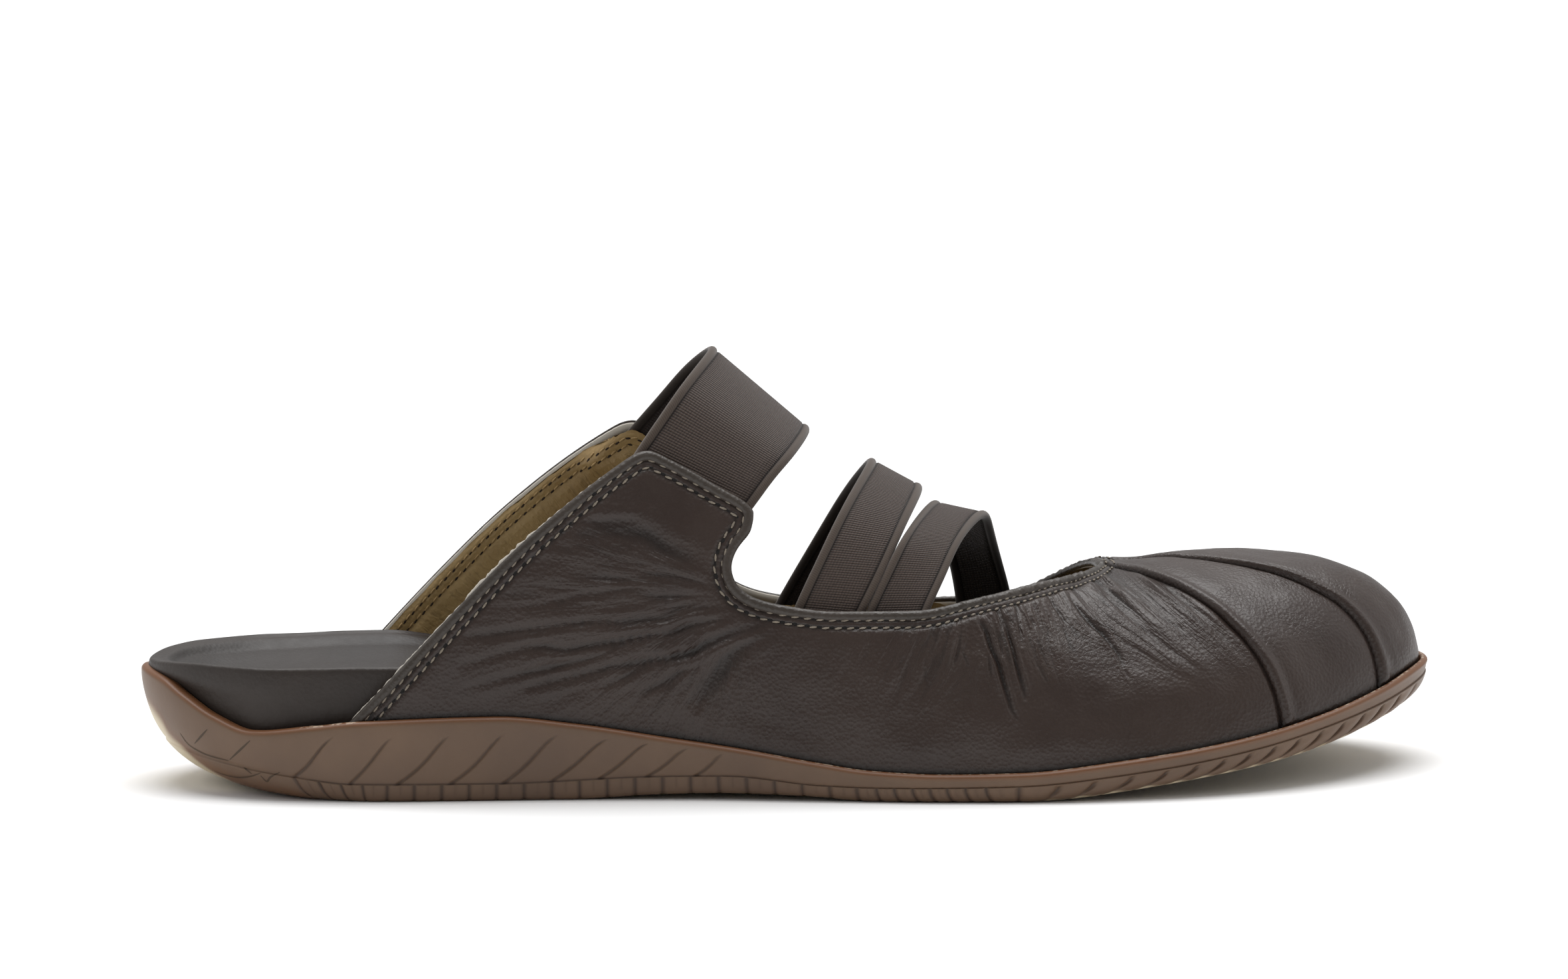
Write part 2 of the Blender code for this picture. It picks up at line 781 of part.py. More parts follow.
def upper_lines():
    """Every line around the wall, from the outer back edge round the toe to the inner back edge."""
    closed = closed_lines()
    outer = edge_lines(LATERAL_EDGE, EDGE_STEPS, LATERAL)
    inner = edge_lines(MEDIAL_EDGE, MEDIAL_STEPS, MEDIAL)
    sides = [(line, LATERAL) for line in outer + closed]
    sides += [(medial_partner(line), MEDIAL) for line in closed[-2::-1]]
    sides += [(line, MEDIAL) for line in inner[::-1]]
    return sides, len(outer), len(closed), len(inner)


def wall_grid(bm, lines, first_closed, closed_count, place):
    """Rows of points, one row a line. Ahead of the throat both sides share the crest's points."""
    tip = first_closed + closed_count - 1
    rows = []
    for number, (line, side) in enumerate(lines):
        partner = 2 * tip - number
        shares = number > tip and partner >= first_closed
        places = line[:-1] if shares else line
        row = add_ring(bm, [place(x, rise, side, number, level) for level, (x, rise) in enumerate(places)])
        rows.append(row + [rows[partner][-1]] if shares else row)
    return rows


def fill_wall(bm, rows):
    """Faces between the rows. On the crest two corners can be one point."""
    for first, second in zip(rows, rows[1:]):
        for corners in zip(first, second, second[1:], first[1:]):
            bm.faces.new(tuple(dict.fromkeys(corners)))


def wall_normals(lines, first_closed, closed_count):
    """Outward normals of the plain last surface at every place of the grid."""
    def plain(x, rise, side, number, level):
        return last_point(x, rise, side)

    bm = bmesh.new()
    rows = wall_grid(bm, lines, first_closed, closed_count, plain)
    fill_wall(bm, rows)
    bmesh.ops.recalc_face_normals(bm, faces=bm.faces)
    bm.normal_update()
    middle = rows[len(rows) // 2][1]
    sign = 1.0 if middle.normal.x > 0.0 else -1.0
    normals = [[vert.normal * sign for vert in row] for row in rows]
    bm.free()
    return normals


def make_upper(material):
    lines, first_closed, closed_count, inner_count = upper_lines()
    normals = wall_normals(lines, first_closed, closed_count)

    def outer(x, rise, side, number, level):
        return last_point(x, rise, side) + normals[number][level] * seam_height(x, rise, side)

    def inner(x, rise, side, number, level):
        face = last_point(x, rise, side)
        point = face - normals[number][level] * UPPER_WALL
        if level == 0:
            point.z = face.z
        return point

    bm = bmesh.new()
    out_rows = wall_grid(bm, lines, first_closed, closed_count, outer)
    in_rows = wall_grid(bm, lines, first_closed, closed_count, inner)
    fill_wall(bm, out_rows)
    fill_wall(bm, in_rows)
    skin(bm, [row[0] for row in out_rows], [row[0] for row in in_rows], closed=False)
    for row_out, row_in in ((out_rows[0], in_rows[0]), (out_rows[-1], in_rows[-1])):
        skin(bm, row_out, row_in, closed=False)
    out_tops = [row[-1] for row in out_rows]
    in_tops = [row[-1] for row in in_rows]
    last = len(lines)
    for start, stop in ((0, first_closed + 1), (last - inner_count - 1, last)):
        skin(bm, out_tops[start:stop], in_tops[start:stop], closed=False)
    return finish(bm, "upper", material)


# ---------------------------------------------------------------- straps
STRAP_STEPS = 24
STRAP_EDGE = 0.4  # rounding of the woven borders


def strap_border(rows, border, along):
    """A point of the outer face on the rear or front border."""
    columns = STRAP_COLUMNS.split()
    x_at, z_at = columns.index(border + "_x"), columns.index(border + "_z")
    points = []
    for row in rows:
        side, x, z, inset = row[0], row[x_at], row[z_at], row[-1]
        if side == 0:
            points.append(Vector((x, RIDGE.read("y", x), z)))
            continue
        rise = rise_at(x, z, side)
        points.append(last_point(x, rise, side) - last_normal(x, rise, side) * inset)
    return through(points, along)


def through(points, along):
    """A smooth curve through points, read at along from 0 to 1."""
    spans = len(points) - 1
    i = min(int(along * spans), spans - 1)
    t = along * spans - i
    before = points[i - 1] if i else points[0] * 2.0 - points[1]
    after = points[i + 2] if i + 2 <= spans else points[-1] * 2.0 - points[-2]
    start, end = points[i], points[i + 1]
    lean_in = (end - before) / 2.0
    lean_out = (after - start) / 2.0
    blend = t * t * (3.0 - 2.0 * t)
    return start + (end - start) * blend + lean_in * t * (1 - t) ** 2 + lean_out * t * t * (t - 1)


def make_strap(name, rows, material):
    rear = [strap_border(rows, "rear", i / STRAP_STEPS) for i in range(STRAP_STEPS + 1)]
    front = [strap_border(rows, "front", i / STRAP_STEPS) for i in range(STRAP_STEPS + 1)]
    bm = bmesh.new()
    rings = []
    for i in range(STRAP_STEPS + 1):
        across = (front[i] - rear[i]).normalized()
        before = rear[max(i - 1, 0)] + front[max(i - 1, 0)]
        after = rear[min(i + 1, STRAP_STEPS)] + front[min(i + 1, STRAP_STEPS)]
        inward = across.cross(after - before).normalized()
        if inward.z > 0.0:
            inward = -inward
        thick = inward * STRAP_WALL
        round_in = inward * STRAP_EDGE
        ring = (
            rear[i] + across * STRAP_EDGE, front[i] - across * STRAP_EDGE,
            front[i] + round_in, front[i] + thick - round_in,
            front[i] + thick - across * STRAP_EDGE, rear[i] + thick + across * STRAP_EDGE,
            rear[i] + thick - round_in, rear[i] + round_in,
        )
        rings.append(add_ring(bm, ring))
    for first, second in zip(rings, rings[1:]):
        skin(bm, first, second)
    bm.faces.new(rings[0])
    bm.faces.new(rings[-1])
    return finish(bm, name, material)


# ---------------------------------------------------------------- the whole shoe
def make_material(name):
    colour, roughness = MATERIALS[name]
    material = bpy.data.materials.new(name)
    material.use_nodes = True
    shader = material.node_tree.nodes["Principled BSDF"]
    shader.inputs["Base Color"].default_value = (*colour, 1.0)
    shader.inputs["Roughness"].default_value = roughness
    shader.inputs["Metallic"].default_value = 0.0
    return material


def main():
    for old in list(bpy.data.objects):
        bpy.data.objects.remove(old)
    materials = {name: make_material(name) for name in MATERIALS}
    make_outsole(materials["gum_rubber"])
    make_footbed(materials["footbed_leather"])
    make_upper(materials["upper_leather"])
    for name, rows in STRAPS.items():
        make_strap(name, rows, materials["woven_elastic"])


main()
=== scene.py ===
# %% [markdown]
# # A slip-on mule in brown leather
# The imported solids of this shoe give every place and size. This lesson dresses them: a gum-rubber
# cup sole, a leather-covered footbed, a soft leather upper sewn over a lining, and three elastic
# straps. It works in millimetres, with the toe along +X, the outer side of the foot at -Y and the
# floor at Z = 0, and turns them into metres once, when a mesh is made.

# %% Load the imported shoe
import math

import bmesh
import bpy
import numpy as np
from mathutils import Matrix, Vector, noise
from mathutils.bvhtree import BVHTree
from mathutils.kdtree import KDTree


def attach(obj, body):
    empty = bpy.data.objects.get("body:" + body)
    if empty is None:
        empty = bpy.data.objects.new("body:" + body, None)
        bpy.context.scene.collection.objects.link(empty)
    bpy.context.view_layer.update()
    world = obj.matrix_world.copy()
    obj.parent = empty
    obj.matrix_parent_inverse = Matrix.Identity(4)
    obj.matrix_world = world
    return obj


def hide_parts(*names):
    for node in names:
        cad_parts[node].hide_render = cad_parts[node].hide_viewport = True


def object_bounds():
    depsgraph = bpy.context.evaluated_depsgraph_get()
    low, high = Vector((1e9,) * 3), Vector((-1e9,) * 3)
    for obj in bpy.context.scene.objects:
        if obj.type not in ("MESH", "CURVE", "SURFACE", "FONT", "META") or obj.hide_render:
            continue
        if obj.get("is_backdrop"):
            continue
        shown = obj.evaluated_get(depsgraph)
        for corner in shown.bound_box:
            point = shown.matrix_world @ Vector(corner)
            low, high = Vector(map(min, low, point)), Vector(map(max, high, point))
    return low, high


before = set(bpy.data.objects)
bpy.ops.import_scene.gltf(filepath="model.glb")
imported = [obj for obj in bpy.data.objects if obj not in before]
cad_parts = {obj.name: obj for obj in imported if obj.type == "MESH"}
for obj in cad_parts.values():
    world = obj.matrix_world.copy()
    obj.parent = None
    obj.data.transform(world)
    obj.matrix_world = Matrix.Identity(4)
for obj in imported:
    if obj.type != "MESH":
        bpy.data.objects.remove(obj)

MM = 0.001
cad_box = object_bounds()
print("solids:", sorted(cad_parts))

# %% [markdown]
# The camera comes first, because everything is judged through it. A long lens from a metre and a
# half away keeps the sole nearly straight.

# %% Camera
def show(name, data):
    """Puts a new object on show."""
    shown = bpy.data.objects.new(name, data)
    bpy.context.collection.objects.link(shown)
    return shown


camera = show("camera", bpy.data.cameras.new("camera"))
camera.data.sensor_width = 36.0
camera.data.lens = 172.5
camera.location = Vector((-144.4, -1481.3, 244.8)) * MM
look_at = Vector((-1.74, 0.0, 56.77)) * MM
camera.rotation_euler = (look_at - camera.location).to_track_quat("-Z", "Y").to_euler()
bpy.context.scene.camera = camera
print("camera", round((look_at - camera.location).length, 3), "m away")

# %% [markdown]
# A mould maker draws a shoe from a few curves: the plan of the sole, its side view, and the
# sections of the last. Each table below is such a curve. It is read with a cubic whose slopes
# never let it swing past its rows, so an added row stays a local change.

# %% Curves read from tables
class Curve:
    """Named columns over the first one, read as smooth curves."""

    def __init__(self, columns, rows):
        self.key, *values = np.array(rows, dtype=float).T
        self.step = np.diff(self.key)
        self.columns = {}
        for name, value in zip(columns.split()[1:], values):
            rise = np.diff(value) / self.step
            before, after = rise[:-1], rise[1:]
            near = 2 * self.step[1:] + self.step[:-1]
            far = self.step[1:] + 2 * self.step[:-1]
            same_way = before * after > 0
            safe = [np.where(same_way, part, 1.0) for part in (before, after)]
            inner = np.where(same_way, (near + far) / (near / safe[0] + far / safe[1]), 0.0)
            self.columns[name] = value, np.concatenate(([rise[0]], inner, [rise[-1]]))

    def read(self, name, at):
        value, slope = self.columns[name]
        at = np.clip(at, self.key[0], self.key[-1])
        i = np.clip(np.searchsorted(self.key, at, side="right") - 1, 0, len(self.key) - 2)
        step = self.step[i]
        t = (at - self.key[i]) / step
        blend = t * t * (3 - 2 * t)
        lean = slope[i] * step * t * (1 - t) ** 2 + slope[i + 1] * step * t * t * (t - 1)
        return value[i] + (value[i + 1] - value[i]) * blend + lean


def fade(value, low, high):
    """0 below low, 1 above high, and smooth between."""
    t = np.clip((value - low) / (high - low), 0.0, 1.0)
    return t * t * (3 - 2 * t)


def narrow(distance, width):
    """1 on a line, and falling to 0 a little past this width."""
    return np.exp(-((distance / width) ** 2))


def unit(v):
    return v / np.maximum(np.linalg.norm(v, axis=-1, keepdims=True), 1e-9)


def at_height(plan, z):
    """Points from their places in plan and their heights."""
    return np.concatenate([plan, z[..., None]], axis=-1)


def arc_length(points):
    """How far along a path each of its points is."""
    return np.concatenate([[0], np.cumsum(np.linalg.norm(np.diff(points, axis=0), axis=1))])


def read_at(at, key, values):
    """Rows of values, read between their keys."""
    return np.stack([np.interp(at, key, column) for column in values.T], axis=1)


def through(points, along):
    """A smooth curve through points, read at along from 0 to 1."""
    ends = np.concatenate([[2 * points[0] - points[1]], points, [2 * points[-1] - points[-2]]])
    i = np.minimum((along * (len(points) - 1)).astype(int), len(points) - 2)
    t = (along * (len(points) - 1) - i)[:, None]
    start, end = ends[i + 1], ends[i + 2]
    lean_in, lean_out = (end - ends[i]) / 2, (ends[i + 3] - start) / 2
    blend = t * t * (3 - 2 * t)
    return start + (end - start) * blend + lean_in * t * (1 - t) ** 2 + lean_out * t * t * (t - 1)

# %% The curves of this shoe
TOE = 130.0
OUTER, INNER = -1.0, 1.0
# Each row is a share of the length, then how far the outer and inner outlines are from the middle.
plan_rows = (
    (0.00, 0.0, 0.0), (0.05, -22.0, 21.0), (0.10, -29.0, 28.0), (0.20, -33.0, 31.0),
    (0.30, -33.5, 29.5), (0.40, -35.0, 27.5), (0.50, -39.5, 29.5), (0.60, -44.0, 35.5),
    (0.68, -45.5, 41.0), (0.77, -43.0, 45.4), (0.84, -37.5, 43.0), (0.90, -28.5, 38.0),
    (0.95, -17.5, 31.0), (0.98, -7.5, 23.5), (1.00, 8.0, 8.0),
)
plan_rows = [(math.acos(1 - 2 * along), *widths) for along, *widths in plan_rows]
PLAN = Curve("turn outer inner", plan_rows)
TREAD = Curve("x z", (
    (-104, 0), (-48, 0), (-30, 0.9), (-16, 1.2), (-2, 0.9), (12, 0), (42, 0), (50, 0.4), (59, 1.3),
    (75, 3.2), (88, 4.9), (102, 7.2), (117, 11), (124, 13.3), (130, 15.6),
))
FLOOR = Curve("x z", (
    (-130, 18.6), (-122, 14.4), (-116, 11.6), (-109, 9.9), (-100, 10.6), (-89, 12), (-61, 12.6),
    (-46, 11.3), (-26, 8.6), (-13, 6.8), (1, 4.5), (11, 3.2), (25, 2.7), (46, 2.7), (59, 3.9),
    (75, 5.8), (88, 7.6), (102, 10), (117, 13.8), (124, 16.1), (130, 18.3),
))
RIM = Curve("x z", (
    (-130, 23.5), (-126.5, 22.3), (-123, 20.0), (-116.4, 16.1), (-109.5, 13.8), (-97.5, 15),
    (-88.8, 16), (-61, 16.8), (-46.2, 15.3), (-26.4, 12.2), (-13.2, 10.2), (1.2, 7.7), (11, 6.3),
    (25, 5.7), (40.7, 6), (58.9, 7.7), (79.9, 10.2), (102, 13.9), (116.8, 17.5), (127.4, 20.4),
    (130, 20.8),
))
CREST = Curve("x z", (
    (-92, 98), (-60, 97), (-33, 93), (-15, 86.6), (4, 69.4), (17, 62.4), (27, 56.6), (39, 50.6),
    (50, 45.2), (56, 42.6), (61.5, 41.1), (66, 41), (77, 42.2), (90, 42.8),
))
RIDGE = Curve("x y", ((-92, 0), (0, -1), (60, 1.5), (90, 5.5)))
FULLNESS = Curve("x power", ((-60, 2.15), (30, 2.1), (80, 2.15), (130, 2.32)))
print("sole", 2 * TOE, "mm long, rim up to", RIM.columns["z"][0].max(), "mm high")

# %% [markdown]
# The last is the foot-shaped block that the upper is pulled over. A point of its skin is found
# from x, from how far it has risen from the sole to the crest (0 to 1), and from the side. Every
# piece of the upper, its seams and its stitches are laid out in those terms.

# %% The last
INSIDE_WALL, OVER_FLOOR = 1.9, 0.3
TOE_FAN, HEEL_FAN = 50.0, -98.0


def turn_at(x):
    """The plan is read by an angle that goes from the heel tip to the toe tip."""
    return np.arccos(np.clip(-x / TOE, -1, 1))


def outline_at(turn, side):
    y = np.where(side < 0, PLAN.read("outer", turn), PLAN.read("inner", turn))
    return np.stack([-TOE * np.cos(turn), y], axis=-1)


def edge_point(x, side, inset):
    """A point of the plan, moved in from the outline at right angles."""
    turn = turn_at(x)
    before, after = np.maximum(turn - 0.01, 0), np.minimum(turn + 0.01, math.pi)
    run = outline_at(after, side) - outline_at(before, side)
    outward = unit(np.stack([run[..., 1], -run[..., 0]], axis=-1)) * -np.asarray(side)[..., None]
    return outline_at(turn, side) - outward * np.asarray(inset)[..., None]


def spine_point(x):
    """Where a section meets the crest: the sections fan out round the toe and the heel."""
    at_toe = x - (x - TOE_FAN) ** 2 / (2 * (TOE - TOE_FAN))
    at_heel = x + (x - HEEL_FAN) ** 2 / (2 * (TOE + HEEL_FAN))
    along = np.where(x > TOE_FAN, at_toe, np.where(x < HEEL_FAN, at_heel, x))
    return np.stack([along, RIDGE.read("y", along)], axis=-1)


def last_point(x, rise, side):
    x, rise, side = np.broadcast_arrays(*(np.asarray(a, dtype=float) for a in (x, rise, side)))
    angle = rise * math.pi / 2
    power = 2 / FULLNESS.read("power", x)
    foot = edge_point(x, side, INSIDE_WALL)
    spine = spine_point(x)
    low = FLOOR.read("z", foot[..., 0]) + OVER_FLOOR
    high = CREST.read("z", spine[..., 0])
    plan = spine + (foot - spine) * (np.maximum(np.cos(angle), 0) ** power)[..., None]
    return at_height(plan, low + (high - low) * np.sin(angle) ** power)


def rise_at(x, z, side):
    low, high = last_point(x, 0.0, side)[..., 2], last_point(x, 1.0, side)[..., 2]
    part = np.clip((z - low) / (high - low), 0, 1)
    return np.arcsin(part ** (FULLNESS.read("power", x) / 2)) * 2 / math.pi


def last_normal(x, rise, side):
    """Outward direction of the last's skin."""
    x, rise, side = np.broadcast_arrays(*(np.asarray(a, dtype=float) for a in (x, rise, side)))
    above, below = np.minimum(rise + 0.02, 0.999), np.maximum(rise - 0.02, 0)
    ahead = np.minimum(x + 1, TOE)
    up = last_point(x, above, side) - last_point(x, below, side)
    on = last_point(ahead, rise, side) - last_point(ahead - 2, rise, side)
    return unit(np.cross(up, on)) * side[..., None]


print("crest over the instep", last_point(-15.0, 1.0, OUTER).round(1))

# %% [markdown]
# The upper's free edge climbs from the sole at the back, rounds the tab that holds the instep
# strap, dips, and runs low along the foot to the throat. Each row joins a foot on the sole to a
# place on that edge, and sweep bends the line between them.

# %% The free edges and the two rolled seams
SIDE_EDGE = {
    OUTER: Curve("foot x z sweep", (
        (-94, -33.6, 67.4, 0.88), (-88, -31, 68.1, 0.9), (-80, -26.4, 66.1, 0.93),
        (-66, -16.4, 60.4, 1), (-60, -12.2, 58, 1), (-56, -10.6, 56, 1), (-52, -11.2, 53, 1),
        (-44, -14.5, 48.6, 1), (-38, -15.5, 45.4, 1), (-32, -14.4, 42, 1), (-26, -11, 39.6, 1),
        (-17, -4.4, 38, 1), (-4, 4.7, 37, 1), (20, 20, 37, 1.1), (44, 34, 39.1, 1.3),
        (68, 48, 40.9, 1.6), (82, 55.6, 41.1, 1.8), (94.8, 62.2, 41.05, 1.9), (97.2, 64.6, 44, 1.9),
    )),
    INNER: Curve("foot x z sweep", (
        (-94, -33, 68.6, 0.88), (-88, -30.4, 69.2, 0.9), (-80, -26, 67.1, 0.93),
        (-66, -15.6, 61.2, 1), (-60, -11.2, 58.6, 1), (-56, -9.6, 56.6, 1), (-52, -10.2, 53.2, 1),
        (-44, -13.5, 47.2, 1), (-38, -14.4, 42.8, 1), (-32, -13.2, 38.6, 1), (-26, -9.8, 35.2, 1),
        (-17, -3.6, 32.8, 1), (-4, 5.6, 31.4, 1), (20, 24, 30.6, 1), (36, 38, 30.7, 1),
        (48, 48, 31.5, 1), (55, 54, 34.6, 1), (60, 58.6, 38, 1), (64.6, 62.2, 41, 1),
    )),
}
BACK, OUTER_END, INNER_END = -94.0, 94.8, 64.6
UNDER_BAND, BACK_CURVE = 97.2, -84.0
THROAT = 62.4
ROLLS = (
    {"foot": 95.0, "crest": THROAT, "sweep": 1.9},
    {"foot": 117.8, "crest": 76.0, "sweep": 4.0},
)
INNER_FOOT = Curve("crest foot", ((THROAT, 64.8), (76, 84), (94, 106), (TOE, TOE)))
SECTION_ARC = 55.0


def roll_x(roll, rise):
    return roll["crest"] + (roll["foot"] - roll["crest"]) * (1 - rise ** roll["sweep"])


def roll_lean(roll, rise):
    run, sweep = roll["foot"] - roll["crest"], roll["sweep"]
    slant = run * sweep * rise ** (sweep - 1) / SECTION_ARC
    return 1 / np.sqrt(1 + slant * slant)


def ahead_of(roll, x, rise, side):
    """Millimetres ahead of a roll. On the inner side it runs on straight to the throat."""
    lean = roll_lean(roll, 1.0)
    inner = (x - roll["crest"]) * lean + (1 - rise) * SECTION_ARC * math.sqrt(1 - lean * lean)
    return np.where(side < 0, (x - roll_x(roll, rise)) * roll_lean(roll, rise), inner)

# %% [markdown]
# Sheets of leather, rubber walls and bands are all grids: one operator makes a flat grid, and its
# points are then laid where they belong. Numbers worth painting with, such as how deep a fold is,
# go along as attributes, so the materials can read them.

# %% Laying a grid, and naming a finished piece
def lay(name, points, paint=None, uv=None, merge=0.004, turned=False):
    """A mesh from points[column, row] in millimetres. Points closer than merge become one.
    Its faces look towards columns x rows, or the other way if turned."""
    step = -1 if turned else 1
    points = points[:, ::step]
    columns, rows = points.shape[0] - 1, points.shape[1] - 1
    bm = bmesh.new()
    bmesh.ops.create_grid(bm, x_segments=columns, y_segments=rows, size=0.5)
    mesh = bpy.data.meshes.new(name)
    bm.to_mesh(mesh)
    flat = np.empty(len(mesh.vertices) * 3)
    mesh.vertices.foreach_get("co", flat)
    i = np.rint((flat[0::3] + 0.5) * columns).astype(int)
    j = np.rint((flat[1::3] + 0.5) * rows).astype(int)
    mesh.vertices.foreach_set("co", (points[i, j] * MM).ravel())
    for key, values in (paint or {}).items():
        painted = mesh.attributes.new(key, "FLOAT", "POINT")
        painted.data.foreach_set("value", values[:, ::step][i, j].astype(np.float32))
    if uv is not None:
        corners = np.empty(len(mesh.loops), dtype=np.int32)
        mesh.loops.foreach_get("vertex_index", corners)
        layer = mesh.uv_layers.new(name="millimetres")
        at_corners = uv[:, ::step][i[corners], j[corners]]
        layer.data.foreach_set("uv", at_corners.astype(np.float32).ravel())
    bm.clear()
    bm.from_mesh(mesh)
    bmesh.ops.remove_doubles(bm, verts=bm.verts, dist=merge * MM)
    bmesh.ops.dissolve_degenerate(bm, edges=bm.edges, dist=1e-7)
    bm.to_mesh(mesh)
    bm.free()
    mesh.shade_smooth()
    return mesh


def piece(mesh, material, slot, *nodes):
    """Puts a mesh on show, riding on the shoe's one body, in place of the named solids."""
    shown = show(mesh.name, mesh)
    mesh.materials.clear()
    mesh.materials.append(material)
    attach(shown, "root")
    if nodes:
        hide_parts(*nodes)
    print(mesh.name, sum(len(face.vertices) - 2 for face in mesh.polygons), "triangles")
    return shown


def facing(points):
    """Normals of a grid whose columns run forwards on the outer side and whose rows climb."""
    return unit(np.cross(np.gradient(points, axis=0), np.gradient(points, axis=1)))


def rumple(points, size, seed):
    """Soft noise from -1 to 1, in lumps of about this many millimetres."""
    shift = Vector((seed * 7.3, seed * 3.1, seed * 5.7))
    flat = points.reshape(-1, 3) / size
    values = [noise.noise(Vector(p) + shift) for p in flat]
    return np.array(values).reshape(points.shape[:-1]) * 1.6

# %% [markdown]
# The upper is cut as three pieces of leather. The vamp covers the outer side up to the first
# roll, a band lies between the rolls, and the toe piece wraps round the toe and along the whole
# inner side. Each row of places runs up from the sole, close together near the free edge, where
# the sewing is.

# %% Rows of places for the three cuts
NEAR_EDGE = np.array([
    0.0, 0.4, 0.8, 1.2, 1.5, 1.8, 2.1, 2.4, 2.8, 3.1, 3.4, 3.7, 4.2, 4.8, 5.5, 6.3, 7.2,
])
ROLL_STEPS = np.array([
    0.0, 0.05, 0.15, 0.3, 0.5, 0.75, 1.0, 1.3, 1.6, 2.0, 2.4, 2.9, 3.4, 4.0, 4.8,
])
NEAR_ROLL = np.concatenate([ROLL_STEPS, [5.6, 6.4, 7.2]])
SAMPLES = np.linspace(0, 1, 81)
VAMP_ROWS, BAND_ROWS, TOE_ROWS = 118, 96, 82


def edge_lines(side, feet):
    """Sampled lines from the sole to the free edge, one for each foot."""
    edge, feet = SIDE_EDGE[side], np.asarray(feet, dtype=float)[:, None]
    top_x = edge.read("x", feet)
    top_rise = rise_at(top_x, edge.read("z", feet), side)
    x = top_x + (feet - top_x) * (1 - SAMPLES ** edge.read("sweep", feet))
    return x, top_rise * SAMPLES


def spaced(x, rise, side, rows, near=NEAR_EDGE):
    """Places along sampled lines: evenly from the foot, then at these distances from the top."""
    side = np.broadcast_to(np.asarray(side, dtype=float), x.shape)
    run = np.linalg.norm(np.diff(last_point(x, rise, side), axis=1), axis=-1)
    arc = np.concatenate([np.zeros((len(x), 1)), np.cumsum(run, axis=1)], axis=1)
    even, out = np.linspace(0, 1, x.shape[1]), []
    for i, length in enumerate(arc[:, -1]):
        last_even = max(length - near[-1] - 0.5, length * 0.3)
        close = np.linspace(last_even, length, len(near) + 2)[1:-1]
        if length > 3 * near[-1]:
            close = length - near[::-1]
        at = np.concatenate([np.linspace(0, last_even, rows), close])
        part = np.interp(at, arc[i], even)
        out.append([np.interp(part, even, row) for row in (x[i], rise[i], side[i])])
    x, rise, side = np.array(out).transpose(1, 0, 2)
    return x, rise, np.where(side < 0, OUTER, INNER)


def inner_line(crest, rise):
    """A line down the inner side, from a place on the crest to its foot."""
    return crest + (INNER_FOOT.read("foot", crest) - crest) * (1 - rise)


def roll_line(roll, ahead):
    """A sampled line that keeps a distance ahead of a roll."""
    return roll_x(roll, SAMPLES) + ahead / roll_lean(roll, SAMPLES)


def inner_stop(crest):
    """How high the toe piece reaches on the inner side, behind the second roll."""
    lean = roll_lean(ROLLS[1], 1.0)
    slope = SECTION_ARC * math.sqrt(1 - lean * lean) / lean
    return 1 - (ROLLS[1]["crest"] - crest) / (slope + INNER_FOOT.read("foot", crest) - crest)


vamp_feet = np.concatenate([
    np.linspace(BACK, BACK_CURVE, 24)[:-1], np.linspace(BACK_CURVE, 12, 190)[:-1],
    np.linspace(12, UNDER_BAND, 330),
])
vamp_at = spaced(*edge_lines(OUTER, vamp_feet), OUTER, VAMP_ROWS)
print("vamp", vamp_at[0].shape, "places")

# %% The band between the rolls, and the toe piece
def band_columns():
    """Outer side from the sole to the crest, then down the inner side as far as the toe piece."""
    lines = [roll_line(ROLLS[0], ahead) for ahead in ROLL_STEPS]
    behind, front = lines[-1], roll_line(ROLLS[1], 1.6)
    lines += [behind * (1 - w) + front * w for w in np.linspace(0, 1, 34)[1:]]
    x, rise, side = [], [], []
    over = np.linspace(0, 1, 17)[1:]
    for line in lines:
        crest = line[-1]
        stop = min(inner_stop(min(crest, ROLLS[1]["crest"])), 0.995) - 0.012
        down = 1 - (1 - stop) * over
        x.append(np.concatenate([line, inner_line(crest, down)]))
        rise.append(np.concatenate([SAMPLES, down]))
        side.append(np.concatenate([np.full(len(SAMPLES), OUTER), np.full(len(over), INNER)]))
    return np.array(x), np.array(rise), np.array(side)


def toe_columns():
    """From the second roll round the toe, then back along the inner side to its back edge."""
    share = np.concatenate([[0], np.linspace(0, 1, 62)[1:] ** 1.25])
    lines = [roll_line(ROLLS[1], ahead) for ahead in ROLL_STEPS[:-1]]
    start = lines[-1]
    lines += [start * (1 - w) + TOE * w for w in share[1:]]
    crests = np.array([line[-1] for line in lines])
    outer_x, outer_rise = np.array(lines), np.tile(SAMPLES, (len(lines), 1))
    back = crests[-2::-1][:, None]
    inner_x = inner_line(back, SAMPLES)
    part = np.linspace(ROLLS[1]["crest"], THROAT, 26)[1:-1, None]
    stop = inner_stop(part)
    under_x = inner_line(part, stop * SAMPLES)
    feet = [np.linspace(INNER_END, BACK_CURVE, 300)[:-1], np.linspace(BACK_CURVE, BACK, 24)]
    edge_x, edge_rise = edge_lines(INNER, np.concatenate(feet))
    limit = inner_stop(np.clip(edge_x[:, -1:], 40.0, ROLLS[1]["crest"]))
    edge_rise = edge_rise * np.minimum(1.0, limit / edge_rise[:, -1:])
    x = np.concatenate([outer_x, inner_x, under_x, edge_x])
    rise = np.concatenate([outer_rise, np.tile(SAMPLES, (len(back), 1)), stop * SAMPLES, edge_rise])
    side = np.where(np.arange(len(x))[:, None] < len(lines), OUTER, INNER)
    return x, rise, side


band_at = spaced(*band_columns(), BAND_ROWS)
toe_at = spaced(*toe_columns(), TOE_ROWS, NEAR_ROLL)
print("band", band_at[0].shape, "toe piece", toe_at[0].shape)

# %% [markdown]
# Everything at the free edge is measured from one path: up the outer back edge, round the tab,
# along to the throat, and back down the inner side. At each step the path knows which way is out
# of the leather and which way is into it.

